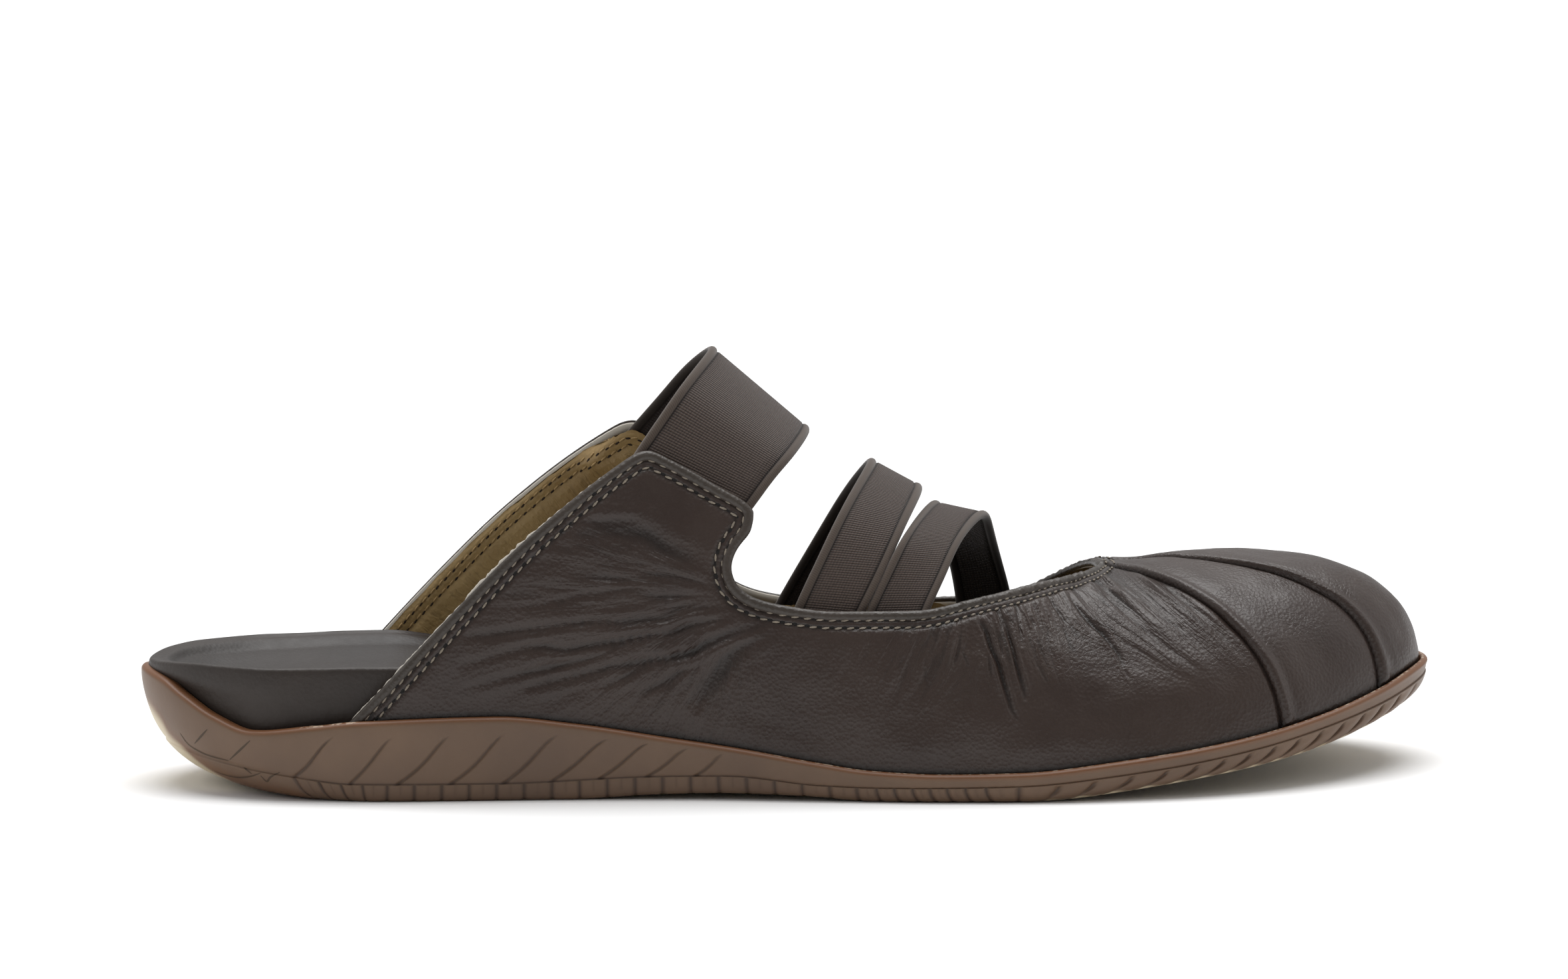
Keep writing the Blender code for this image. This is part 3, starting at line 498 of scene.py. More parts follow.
# %% The path of the free edge
def resample(points, step, *others):
    """Even steps along a path, with other values carried along."""
    arc = arc_length(points)
    at = np.linspace(0, arc[-1], int(round(arc[-1] / step)) + 1)
    return [read_at(at, arc, values) for values in (points, *others)]


def soften(path, times):
    for _ in range(times):
        path = np.concatenate([path[:1], (path[:-2] + 2 * path[1:-1] + path[2:]) / 4, path[-1:]])
    return path


EDGE_STEP, EDGE_FEET = 0.4, 400
outer_back, inner_back = edge_lines(OUTER, [BACK]), edge_lines(INNER, [BACK])
outer_top = edge_lines(OUTER, np.linspace(BACK, OUTER_END, EDGE_FEET))
inner_top = edge_lines(INNER, np.linspace(INNER_END, BACK, EDGE_FEET))
edge_x, edge_rise = [
    np.concatenate([up[0], outer[1:, -1], inner[:, -1], down[0, -2::-1]])
    for up, outer, inner, down in zip(outer_back, outer_top, inner_top, inner_back)
]
edge_side = np.where(np.arange(len(edge_x)) < len(SAMPLES) + EDGE_FEET - 1, OUTER, INNER)
edge_at = edge_x, edge_rise, edge_side
edge_path, edge_out = resample(last_point(*edge_at), EDGE_STEP, last_normal(*edge_at))
edge_path, edge_out = soften(edge_path, 14), unit(soften(edge_out, 30))
edge_run = unit(np.gradient(edge_path, axis=0))
edge_in = unit(np.cross(edge_run, edge_out))
edge_tree = KDTree(len(edge_path))
for number, point in enumerate(edge_path):
    edge_tree.insert(point, number)
edge_tree.balance()


def edge_place(points):
    """For each point, its distance from the free edge and how far along the edge that is."""
    found = [edge_tree.find(p)[1:] for p in points.reshape(-1, 3)]
    along, away = np.array(found).T
    return away.reshape(points.shape[:-1]), along.reshape(points.shape[:-1]) * EDGE_STEP


print("free edge", round(len(edge_path) * EDGE_STEP), "mm long")

# %% [markdown]
# Leather keeps its own relief. The folded front of each roll stands a millimetre proud and turns
# under at the back, which makes the dark line behind it. The sewing pulls two narrow troughs
# along the free edge, under the stitches.

# %% Relief of the rolls and the seams
ROLL_SHAPE = Curve("ahead lift", (
    (0, -1.2), (0.05, -0.8), (0.15, -0.2), (0.3, 0.35), (0.5, 0.72), (0.75, 0.98), (1, 1.1),
    (1.3, 1.14), (1.6, 1.06), (2, 0.84), (2.4, 0.6), (2.9, 0.4), (3.4, 0.34), (4, 0.38),
    (4.8, 0.48), (6.5, 0.5), (9, 0.34), (14, 0.12), (22, 0),
))
STITCH_ROWS = (1.9, 3.45)


def roll_lift(roll, x, rise, side):
    clear = fade(last_point(x, rise, side)[..., 2] - RIM.read("z", x), -0.6, 0.9)
    lift = ROLL_SHAPE.read("lift", ahead_of(roll, x, rise, side))
    return lift * clear * (1 - 0.55 * fade(rise, 0.7, 1.0)) * np.where(side < 0, 1, fade(x, 50, 60))


def tuck(roll, x, rise, side):
    """The cut behind a roll dips where it goes under it."""
    return -0.45 * fade(ahead_of(roll, x, rise, side), -1.1, 0.1)


def under_stitches(away):
    """1 under the two rows of stitches, which are this far from the free edge."""
    return sum(narrow(away - row, 0.5) for row in STITCH_ROWS)

# %% [markdown]
# The longest creases are placed one by one, as soft troughs with a ridge on each side. On the
# quarter they run back from the tab, where the foot bends the leather. Under the throat, where
# the edge is gathered, they are short puckers that run down the vamp.

# %% Creases placed one by one
DEEPEST = 0.75


def drawn_line(points, places):
    """For points near a line through (x, z) places: which they are, how far, how far along."""
    path = through(np.array(places), np.linspace(0, 1, 7 * len(places)))
    x, z = points[..., 0], points[..., 2]
    low, high = path.min(axis=0) - 5, path.max(axis=0) + 5
    near = (x > low[0]) & (x < high[0]) & (z > low[1]) & (z < high[1])
    gap = np.hypot(x[near][:, None] - path[:, 0], z[near][:, None] - path[:, 1])
    closest = gap.argmin(axis=1)
    return near, gap[np.arange(len(gap)), closest], closest / (len(path) - 1)


def creases(points, strokes):
    """Lift and painted shade of strokes: each is a width, a depth and its (x, z) places."""
    lift, dark = np.zeros((2,) + points.shape[:-1])
    for width, depth, *places in strokes:
        near, gap, along = drawn_line(points, places)
        away = gap / width
        strong = depth * np.sin(math.pi * (0.06 + 0.9 * along)) ** 0.6
        lift[near] += strong * (0.45 * np.exp(-((away - 1.9) ** 2) / 0.8) - narrow(away, 1))
        dark[near] = np.maximum(dark[near], strong * narrow(away, 0.6))
    return DEEPEST * np.tanh(lift / DEEPEST), dark

# %% Where the creases run
OUTER_CREASES = (
    (0.8, 0.22, (-16.6, 39.6), (-28.2, 40.0), (-34.7, 41.0), (-41.2, 40.7), (-54.2, 38.3),
     (-62.0, 38.0)),
    (0.9, 0.4, (-15.0, 37.6), (-24.4, 37.7), (-28.3, 35.8), (-34.8, 35.2), (-47.7, 34.6),
     (-60.7, 33.1), (-67.2, 32.5)),
    (0.9, 0.45, (-12.5, 36.2), (-21.8, 34.5), (-28.3, 32.8), (-41.3, 30.7), (-47.8, 29.6),
     (-54.3, 30.4), (-67.3, 27.1)),
    (1.0, 0.55, (-9.5, 35.4), (-15.4, 33.2), (-20.6, 30.6), (-24.4, 28.7), (-34.8, 26.8),
     (-41.3, 25.5), (-54.3, 22.4)),
    (0.8, 0.4, (-8.2, 34.7), (-14.1, 32.6), (-18.0, 30.9), (-23.2, 28.6), (-28.3, 27.8)),
    (0.8, 0.3, (-21.9, 26.7), (-25.8, 24.8), (-28.4, 23.1), (-33.6, 20.9)),
    (1.4, 0.4, (-7.4, 33.6), (-15.4, 28.7), (-18.0, 25.4), (-20.0, 22.2), (-21.9, 18.9)),
    (0.9, 0.35, (-41.3, 28.7), (-47.8, 26.9), (-54.3, 25.6), (-67.3, 22.3)),
    (1.9, 0.5, (-44.0, 52.4), (-38.0, 53.0), (-31.9, 51.9), (-28.1, 49.3), (-22.9, 47.3)),
    (0.8, 0.25, (-47.0, 54.8), (-40.0, 54.4), (-33.0, 54.8)),
    (0.8, 0.2, (-18.5, 41.6), (-23.0, 43.2), (-28.2, 44.0), (-38.0, 43.4), (-47.6, 44.3),
     (-54.1, 45.0)),
    (0.9, 0.3, (-28.4, 26.7), (-34.8, 24.8), (-41.3, 22.9)),
    (2.2, 0.35, (-12.9, 28.1), (-18.0, 24.1), (-20.6, 18.9)),
    (0.4, 0.4, (29.8, 33.2), (29.3, 30.8), (28.6, 28.4), (28.0, 26.8)),
    (0.3, 0.2, (29.3, 29.6), (30.2, 28.0), (30.8, 26.3)),
    (0.5, 0.6, (33.7, 34.4), (34.7, 32.5), (35.5, 29.5), (36.7, 26.7), (37.5, 23.6), (38.4, 20.4),
     (39.0, 18.2), (39.9, 16.5)),
    (0.35, 0.25, (34.8, 28.6), (35.0, 26.4), (35.2, 24.2)),
    (0.35, 0.3, (36.1, 34.6), (36.7, 32.5), (37.4, 30.0), (37.6, 27.9)),
    (0.48, 0.55, (38.7, 34.5), (39.3, 30.9), (40.0, 27.8), (40.7, 24.8), (41.4, 22.3),
     (41.8, 20.4)),
    (0.35, 0.4, (41.3, 37.9), (41.2, 35.6), (41.4, 32.0), (41.6, 29.9)),
    (0.35, 0.3, (42.7, 37.5), (43.7, 34.8), (44.4, 33.2)),
    (0.35, 0.3, (48.1, 38.3), (49.2, 36.8), (50.3, 35.0), (51.1, 33.6)),
    (0.3, 0.15, (44.4, 26.5), (45.5, 24.6), (46.5, 22.8)),
    (0.48, 0.55, (51.7, 39.5), (52.9, 37.3), (54.2, 35.3), (55.9, 33.3), (58.1, 31.5), (59.8, 29.4),
     (61.0, 27.9), (61.7, 26.1)),
    (0.35, 0.3, (52.1, 36.8), (53.4, 34.8), (55.2, 32.7), (56.9, 31.0)),
    (0.3, 0.2, (57.9, 34.3), (59.6, 32.2), (61.0, 30.5)),
    (0.4, 0.4, (57.3, 40.1), (60.0, 39.4), (62.3, 38.4), (64.4, 37.6), (66.5, 36.4)),
    (0.3, 0.15, (61.4, 25.9), (62.2, 24.3), (63.1, 23.1)),
    (0.35, 0.25, (59.8, 37.3), (61.5, 36.2), (63.8, 34.5)),
    (0.4, 0.15, (22.7, 28.8), (22.2, 26.2), (22.5, 23.1)),
    (0.35, 0.2, (25.2, 32.7), (24.4, 31.2)),
    (0.4, 0.2, (70.1, 34.2), (72.1, 32.8), (74.6, 31.6)),
    (0.35, 0.2, (46.2, 38.0), (47.0, 35.6), (48.2, 33.4)),
    (0.35, 0.2, (54.6, 40.1), (56.4, 38.2), (58.8, 36.3)),
)
INNER_CREASES = (
    (0.9, 0.35, (-14, 40), (-30, 36), (-44, 30), (-58, 24)),
    (0.9, 0.35, (-13, 38), (-28, 30), (-44, 20)),
    (0.8, 0.3, (-15, 42), (-36, 40), (-60, 35)),
    (1.2, 0.35, (-12, 36), (-22, 25), (-27, 15)),
    (0.7, 0.4, (30, 28), (31, 22), (34, 14)),
    (0.6, 0.5, (40, 28.5), (42, 22), (46, 15)),
    (0.6, 0.5, (47, 29), (51, 24), (58, 18)),
    (0.6, 0.45, (54, 33), (60, 29), (68, 24)),
    (0.5, 0.4, (60, 38), (66, 36), (74, 33)),
    (0.5, 0.4, (36, 29), (37.5, 24), (39, 19)),
)

# %% [markdown]
# Between the placed creases lie many fine wrinkles, too thin for the mesh, so they are bump. They
# need a direction: each point is told which wrinkle line it is on, and how far down that line.
# On the quarter the lines fan out from the lower corner of the tab. Under the gathered edge they
# run down the vamp, and lean more and more towards the toe.

# %% Directions of the fine wrinkles
TAB_CORNER, QUARTER = (-12.0, 40.5), -2
GATHER = Curve("x much", ((6, 0), (18, 0.4), (28, 0.8), (38, 1), (60, 1)))
GATHER_LEAN = Curve("x lean", (
    (5, -0.5), (20, -0.5), (29, -0.25), (35, 0.25), (46, 0.3), (53, 0.65), (60, 1.05), (70, 1.2),
))
TOP_LINE = {
    OUTER: Curve("x z", ((0, 37), (20, 37), (34, 39.1), (48, 40.9), (62, 42), (80, 43))),
    INNER: Curve("x z", ((0, 31), (30, 30.7), (44, 31), (50, 33), (58, 38), (62, 42), (80, 43))),
}


def wrinkle_lines(points, away, side):
    """Which line, how far down it, and how strongly the leather is drawn together there."""
    x, z = points[..., 0], points[..., 2]
    back, up = TAB_CORNER[0] - x, z - TAB_CORNER[1]
    reach, angle = np.hypot(back, up), np.arctan2(up, back)
    fan = fade(reach, 7, 17) * (1 - fade(reach, 34, 62))
    fan = fan * fade(angle, -1.9, -1.3) * (1 - fade(angle, 0.25, 0.7))
    top = np.where(side < 0, TOP_LINE[OUTER].read("z", x), TOP_LINE[INNER].read("z", x))
    drop = np.maximum(top - z, 0)
    start = x
    for _ in range(3):
        start = x - GATHER_LEAN.read("lean", start) * drop
    behind_roll = 1 - fade(ahead_of(ROLLS[0], x, rise_at(x, z, side), side), -5, -0.5)
    gather = GATHER.read("much", start) * fade(away, 3.3, 4.3)
    gather = gather * (1 - fade(drop, 8, 22)) * behind_roll
    in_fan = x < QUARTER
    return {
        "line_number": np.where(in_fan, angle * 26, start),
        "line_run": np.where(in_fan, reach, drop),
        "drawn": np.where(in_fan, 0.48 * fan, gather),
    }


def wrinkle_relief(points, lines):
    """The coarser wrinkles, which the mesh can hold."""
    flat = zip(lines["line_number"].ravel() / 1.9, lines["line_run"].ravel() / 13)
    height = np.array([noise.noise(Vector((a, b, 3.3))) for a, b in flat])
    strength = np.where(points[..., 0] < QUARTER, 0.75, 1.1 - 0.5 * fade(lines["line_run"], 3, 12))
    return strength * lines["drawn"] * height.reshape(strength.shape)

# %% [markdown]
# Each cut of leather is the last's skin, raised by all of this. What the eye reads as depth is
# mostly painted shade: the colour lies darker in the creases, along the stitches and where leather
# meets rubber.

# %% Cutting the leather
def leather(name, at, lift, strokes):
    """A cut of leather: the last's skin, raised by its relief, with shade painted by how deep it
    lies.
    """
    x, rise, side = at
    points = last_point(x, rise, side)
    out = facing(points)
    away, _ = edge_place(points)
    lines = wrinkle_lines(points, away, side)
    folds, dark = np.zeros((2,) + x.shape)
    for which, rows in strokes.items():
        folds, dark = np.array(creases(points, rows)) * (side == which) * fade(away, 3.4, 4.6)
    folds += wrinkle_relief(points, lines)
    slack = 0.3 * rumple(points, 14.0, 1) + 0.1 * rumple(points, 5.0, 2)
    above_sole = points[..., 2] - RIM.read("z", x)
    sewn = under_stitches(away)
    under_hem = -0.75 * (1 - fade(away, 0.3, 1.5)) - 0.3 * sewn
    relief = under_hem + (folds + slack) * fade(above_sole, 0.5, 6.0)
    # Painted shade: darker in the crease valleys and along the crease lines, in the troughs under
    # the stitches, where the cut dips under a roll, and in a shadow line just above the rubber.
    depth = -0.65 * folds + 0.7 * dark + 0.6 * sewn
    depth = depth + np.clip(-1.5 * lift, 0, 0.7) + 0.8 * (1 - fade(above_sole, -0.2, 1.6))
    open_grain = fade(out[..., 2], 0.2, 0.75) * np.clip(0.6 + rumple(points, 9.0, 3), 0, 1)
    paint = {"fold_shade": np.clip(depth, 0, 1), **lines, "open_grain": open_grain}
    return lay(name, points + out * (lift + relief)[..., None], paint, merge=0.03)


vamp_mesh = leather("vamp", vamp_at, tuck(ROLLS[0], *vamp_at), {OUTER: OUTER_CREASES})
band_lift = roll_lift(ROLLS[0], *band_at) + tuck(ROLLS[1], *band_at)
band_mesh = leather("toe_band", band_at, band_lift, {})
toe_lift = roll_lift(ROLLS[1], *toe_at)
toe_mesh = leather("toe_piece", toe_at, toe_lift, {INNER: INNER_CREASES})
print("vamp, band and toe piece cut")

# %% [markdown]
# A finish starts from what the thing is made of. One function turns an sRGB hex value into the
# linear numbers that Blender mixes, and one adds a node with its settings and its links. Patterns
# are sized in millimetres on the object's own coordinates, which are metres.

# %% Helpers for finishes
def colour(hexa):
    parts = [int(hexa[i : i + 2], 16) / 255 for i in (1, 3, 5)]
    return (*[c / 12.92 if c <= 0.04045 else ((c + 0.055) / 1.055) ** 2.4 for c in parts], 1.0)


def add(tree, kind, inputs=(), stops=(), **settings):
    """Adds a node. Its inputs, in order or by name, are values, sockets or nodes, which stand
    for their first output. Stops are the places and tones of a ramp."""
    made = tree.nodes.new("ShaderNode" + kind)
    for key, value in settings.items():
        setattr(made, key, value)
    for key, value in inputs.items() if isinstance(inputs, dict) else enumerate(inputs):
        if isinstance(value, bpy.types.Node):
            value = next(socket for socket in value.outputs if socket.enabled)
        if isinstance(value, bpy.types.NodeSocket):
            tree.links.new(value, made.inputs[key])
        else:
            made.inputs[key].default_value = value
    for number, (place, tone) in enumerate(stops):
        element = made.color_ramp.elements[number]
        element.position, element.color = place, colour(tone)
    return made


def finish_named(name, **settings):
    """A new material, its node tree, and its shader with what is the same all over set on it."""
    material = bpy.data.materials.new(name)
    material.use_nodes = True
    tree = material.node_tree
    shader = tree.nodes["Principled BSDF"]
    for key, value in settings.items():
        shader.inputs[key.replace("_", " ")].default_value = value
    return material, tree, shader


def per_mm(size):
    """Texture scale for features of this many millimetres."""
    return 1000.0 / size

# %% [markdown]
# Full-grain calf, dyed through and waxed: the hair cells leave a fine pebble of about a
# millimetre, shade is painted darker into the folds, and the wax gives a soft, uneven sheen. Finer
# grain than half a millimetre would not show, so that is the finest here.

# %% Waxed calf leather
def waxed_calf(name, base, light, deep, grain_mm, roughness, relief=17):
    """Calf in a base and a lighter dye, with a dark tone for the shade painted into its folds.
    Relief is in hundredths of a millimetre."""
    material, tree, shader = finish_named(name, IOR=1.5, Specular_IOR_Level=0.42)
    place = add(tree, "TexCoord").outputs["Object"]
    number, run, drawn, fold_shade, open_grain = [
        add(tree, "Attribute", attribute_name=key).outputs["Fac"]
        for key in ("line_number", "line_run", "drawn", "fold_shade", "open_grain")
    ]
    # Fine wrinkles: noise drawn out along the wrinkle lines, 1.3 mm apart and 8 mm long.
    sideways = add(tree, "Math", (number, 1 / 1.3), operation="MULTIPLY")
    lengthways = add(tree, "Math", (run, 1 / 8.0), operation="MULTIPLY")
    on_lines = add(tree, "CombineXYZ", (sideways, lengthways))
    wrinkle = add(tree, "TexNoise", {
        "Vector": on_lines, "Scale": 1.0, "Detail": 3.0, "Roughness": 0.55, "Distortion": 0.6,
    })
    drawn_in = add(tree, "Math", (wrinkle, drawn), operation="MULTIPLY")
    # Painted shade: the valleys of the fine wrinkles are darkened.
    valley = add(tree, "MapRange", {"Value": wrinkle, "From Min": 0.47, "From Max": 0.36})
    darker = add(tree, "Math", (valley, drawn), operation="MULTIPLY")
    folded = add(tree, "Math", (darker, 0.4, fold_shade), operation="MULTIPLY_ADD")
    # Opened grain: hair-fine cracks round cells of a millimetre, bent so that none is straight.
    bent = add(tree, "TexNoise", {"Vector": place, "Scale": per_mm(2.5), "Detail": 2.0})
    astray = add(
        tree, "VectorMath", (bent.outputs["Color"], (MM,) * 3, place), operation="MULTIPLY_ADD",
    )
    cells = add(
        tree, "TexVoronoi", {"Vector": astray, "Scale": per_mm(1.0)}, feature="DISTANCE_TO_EDGE",
    )
    crack = add(tree, "MapRange", {"Value": cells, "From Min": 0.1, "From Max": 0.0})
    opened = add(tree, "Math", (crack, open_grain), operation="MULTIPLY")
    # Colour: clouds of dye, with painted shade in the folds and a little in the cracks.
    clouds = add(tree, "TexNoise", {"Vector": place, "Scale": per_mm(26), "Detail": 3.0})
    dye = add(tree, "ValToRGB", (clouds,), stops=((0.3, base), (0.72, light)))
    deepest = add(tree, "Math", (opened, 0.15, folded), operation="MULTIPLY_ADD")
    depth = add(tree, "MapRange", {
        "Value": deepest, "From Min": 0.05, "From Max": 0.8, "To Max": 0.85,
    })
    dyed = add(tree, "Mix", {0: depth, 6: dye, 7: colour(deep)}, data_type="RGBA")
    tree.links.new(dyed.outputs[2], shader.inputs["Base Color"])
    # Relief: pebble and hair cells, broken by the cracks, over the wrinkles.
    pebble = add(tree, "TexVoronoi", {
        "Vector": place, "Scale": per_mm(grain_mm), "Randomness": 0.9,
    })
    fine = add(tree, "TexNoise", {"Vector": place, "Scale": per_mm(0.45), "Detail": 2.0})
    creased = add(tree, "TexNoise", {
        "Vector": place, "Scale": per_mm(3.2), "Detail": 4.0, "Roughness": 0.62,
    })
    grain = add(tree, "Math", (fine, 0.5, pebble), operation="MULTIPLY_ADD")
    broken = add(tree, "Math", (opened, -0.5, grain), operation="MULTIPLY_ADD")
    whole = add(tree, "Math", (creased, 0.35, broken), operation="MULTIPLY_ADD")
    pebbled = add(tree, "Bump", {"Height": whole, "Strength": 0.5, "Distance": 0.00001 * relief})
    wrinkled = add(tree, "Bump", {
        "Height": drawn_in, "Normal": pebbled, "Strength": 0.9, "Distance": 0.0008,
    })
    tree.links.new(wrinkled.outputs[0], shader.inputs["Normal"])
    wax = add(tree, "MapRange", {
        "Value": creased, "To Min": roughness - 0.08, "To Max": roughness + 0.1,
    })
    tree.links.new(wax.outputs[0], shader.inputs["Roughness"])
    return material


upper_calf = waxed_calf("waxed_calf_brown", "#2d211c", "#392d27", "#120d0a", 0.75, 0.4)
# The hem's calf is lighter and greyer than the upper's, as a painted highlight on its rounded fold.
hem_calf = waxed_calf("folded_calf_edge", "#342e28", "#403832", "#241d19", 0.7, 0.4)
bed_calf = waxed_calf("footbed_calf", "#28211d", "#342c27", "#110e0c", 0.9, 0.52, relief=9)
lining_calf = waxed_calf("tan_lining_calf", "#9a7e50", "#b59a69", "#4a3a20", 0.8, 0.5)

# %% [markdown]
# The cut edge of the leather is bare fibre, bleached pale and quite matt. The thread is bonded
# polyester: its twist shows as flecks of two tones, a third of a millimetre long. A needle hole is
# only a shadow, so a plain dark finish does for it.

# %% Cut edge, thread and the shadow of a needle hole
def plain(name, tone, roughness, **settings):
    """A finish that is the same all over."""
    return finish_named(name, Base_Color=colour(tone), Roughness=roughness, **settings)[0]


def bonded_thread(name, shade, light):
    material, tree, shader = finish_named(name, Roughness=0.55)
    place = add(tree, "TexCoord").outputs["Object"]
    twist = add(tree, "TexNoise", {"Vector": place, "Scale": per_mm(0.3)})
    strands = add(tree, "ValToRGB", (twist,), stops=((0, shade), (1, light)))
    tree.links.new(strands.outputs[0], shader.inputs["Base Color"])
    return material


cut_edge = plain("bleached_cut_edge", "#c2bcb1", 0.85)
grey_thread = bonded_thread("bonded_thread_grey", "#5f564a", "#978c7d")
tan_thread = bonded_thread("bonded_thread_tan", "#8d7347", "#bd9f6c")
needle_hole_shadow = plain("needle_hole_shadow", "#0d0a08", 0.9)
lining_hole_shadow = plain("lining_needle_hole_shadow", "#2c2013", 0.9)

# %% The three cuts of the upper
piece(vamp_mesh, upper_calf, "upper_leather", "upper")
piece(band_mesh, upper_calf, "upper_leather")
piece(toe_mesh, upper_calf, "upper_leather")

# %% [markdown]
# The free edge is a narrow hem: the leather is skived, folded over and sewn down, so it stands
# a little proud and rounds over. Behind it a bleached cut edge shows as a pale line, and the
# lining stops a little short. All three follow the path of the free edge.

# %% Hem and cut edge
def band_along(profile, ripple=0.0):
    """Carries a profile, given as (into the leather, out of it), along the free edge."""
    into, out = np.array(profile, dtype=float).T
    lifted = out + ripple * fade(out, -0.6, 0.2)
    inwards, outwards = into[None, :, None], lifted[..., None]
    return edge_path[:, None] + edge_in[:, None] * inwards + edge_out[:, None] * outwards


def wander(size, *seed):
    """Noise along the free edge, in waves of about this many millimetres."""
    steps = range(len(edge_path))
    return np.array([noise.noise(Vector((i * EDGE_STEP / size, *seed))) for i in steps])


def gathered(path):
    """How much the edge is gathered here. The back edge, which is higher, is not."""
    return GATHER.read("much", path[:, 0]) * (path[:, 2] < 50)


ripple = (wander(1.15, 8.1, 2.0) * gathered(edge_path) * 0.5)[:, None]
hem = band_along((
    (2.0, -0.35), (1.78, -0.02), (1.5, 0.2), (1.1, 0.3), (0.7, 0.27), (0.35, 0.12), (0.08, -0.18),
    (-0.04, -0.55), (0.02, -0.9), (0.22, -1.15), (0.6, -1.25), (2.0, -1.25), (2.0, -0.35),
), ripple)
piece(lay("hem", hem, {"fold_shade": np.zeros(hem.shape[:2])}, merge=0.01), hem_calf, "upper_leather")
strip = band_along((
    (2.2, -1.2), (0.24, -1.2), (0.1, -1.4), (0.2, -1.72), (2.2, -1.72), (2.2, -1.2),
))
frayed = wander(0.9, 2.6, 4.0)
along_x, along_y, along_z = edge_path.T
outer_slope = (along_y < 0) & (along_x < -40)
shows = outer_slope * (0.2 + 0.2 * fade(along_z, 38, 44) * (1 - fade(along_z, 52, 56)))
strip[:, 1:4] -= edge_in[:, None] * (shows * (1 + 0.8 * frayed) + 0.05 * frayed)[:, None, None]
hidden = fade(along_x, 4, 12)[:, None, None]
strip += hidden * (0.6 * edge_in + 0.3 * edge_out)[:, None]
piece(lay("cut_edge", strip, merge=0.01), cut_edge, "upper_leather")

# %% [markdown]
# Each strap is woven elastic: flat cloth between two round corded edges. Its borders are curves
# through nine places, from a root between leather and lining on the outer side, over the instep,
# to a root on the inner side.

# %% The straps' borders
SEAT = 2.5  # how far a root lies under the skin of the last
# Each row is a side, x and z on the rear border, x and z on the front one, and a depth.
STRAPS = {
    "strap_instep": (
        (-1, -37.6, 61.4, -16.6, 50.4, SEAT), (-1, -33.6, 67.8, -10.6, 57.0, SEAT),
        (-1, -28.4, 74.6, -5.6, 62.6, 1.6), (-1, -22.6, 81.6, -0.8, 66.6, 0.6),
        (0, -15.4, 86.8, 4.2, 69.6, 0.0), (1, -20.0, 82.2, 0.4, 66.0, 0.6),
        (1, -25.4, 75.4, -4.6, 61.6, 1.6), (1, -31.0, 68.6, -9.8, 56.4, SEAT),
        (1, -36.0, 61.8, -15.4, 48.4, SEAT),
    ),
    "strap_middle": (
        (-1, -6.6, 29.6, 6.2, 28.8, SEAT), (-1, -3.0, 38.2, 10.6, 37.0, SEAT),
        (-1, 1.8, 47.0, 16.1, 46.0, 1.6), (-1, 8.2, 57.6, 21.5, 54.0, 0.5),
        (0, 16.2, 64.3, 26.9, 58.0, 0.0), (1, 12.2, 56.6, 22.6, 51.6, 0.5),
        (1, 6.4, 46.0, 17.4, 42.4, 1.6), (1, -0.6, 33.2, 11.6, 32.6, SEAT),
        (1, -4.6, 25.4, 8.0, 24.8, SEAT),
    ),
    "strap_front": (
        (-1, 7.4, 28.8, 20.4, 28.8, SEAT), (-1, 10.7, 37.0, 24.0, 37.6, SEAT),
        (-1, 15.5, 45.2, 28.4, 44.4, 1.6), (-1, 20.4, 52.0, 32.6, 49.9, 0.5),
        (0, 27.6, 54.6, 39.2, 52.3, 0.0), (1, 30.2, 51.4, 41.8, 48.2, 0.5),
        (1, 33.2, 43.6, 44.6, 42.0, 1.6), (1, 35.4, 32.4, 47.4, 32.6, SEAT),
        (1, 35.8, 24.4, 48.0, 24.6, SEAT),
    ),
}


def strap_border(rows, first):
    places = []
    for row in rows:
        side, x, z, inset = row[0], row[first], row[first + 1], row[5]
        if side == 0:
            places.append(np.array([x, RIDGE.read("y", x), z]))
            continue
        rise = rise_at(x, z, side)
        places.append(last_point(x, rise, side) - last_normal(x, rise, side) * inset)
    return soften(through(np.array(places), np.linspace(0, 1, 97)), 30)

# %% Strap cloth, swept with its corded edges
CORD = (
    (0.0, 0.75), (0.08, 0.4), (0.3, 0.1), (0.65, -0.1), (1.0, -0.14), (1.35, -0.06), (1.62, 0.14),
    (1.82, 0.42), (1.98, 0.3), (2.2, 0.14),
)
CORD_WIDTH, CORD_DEPTH = 2.2, 1.5
CLOTH, CLOTH_BACK = 0.12, 1.32


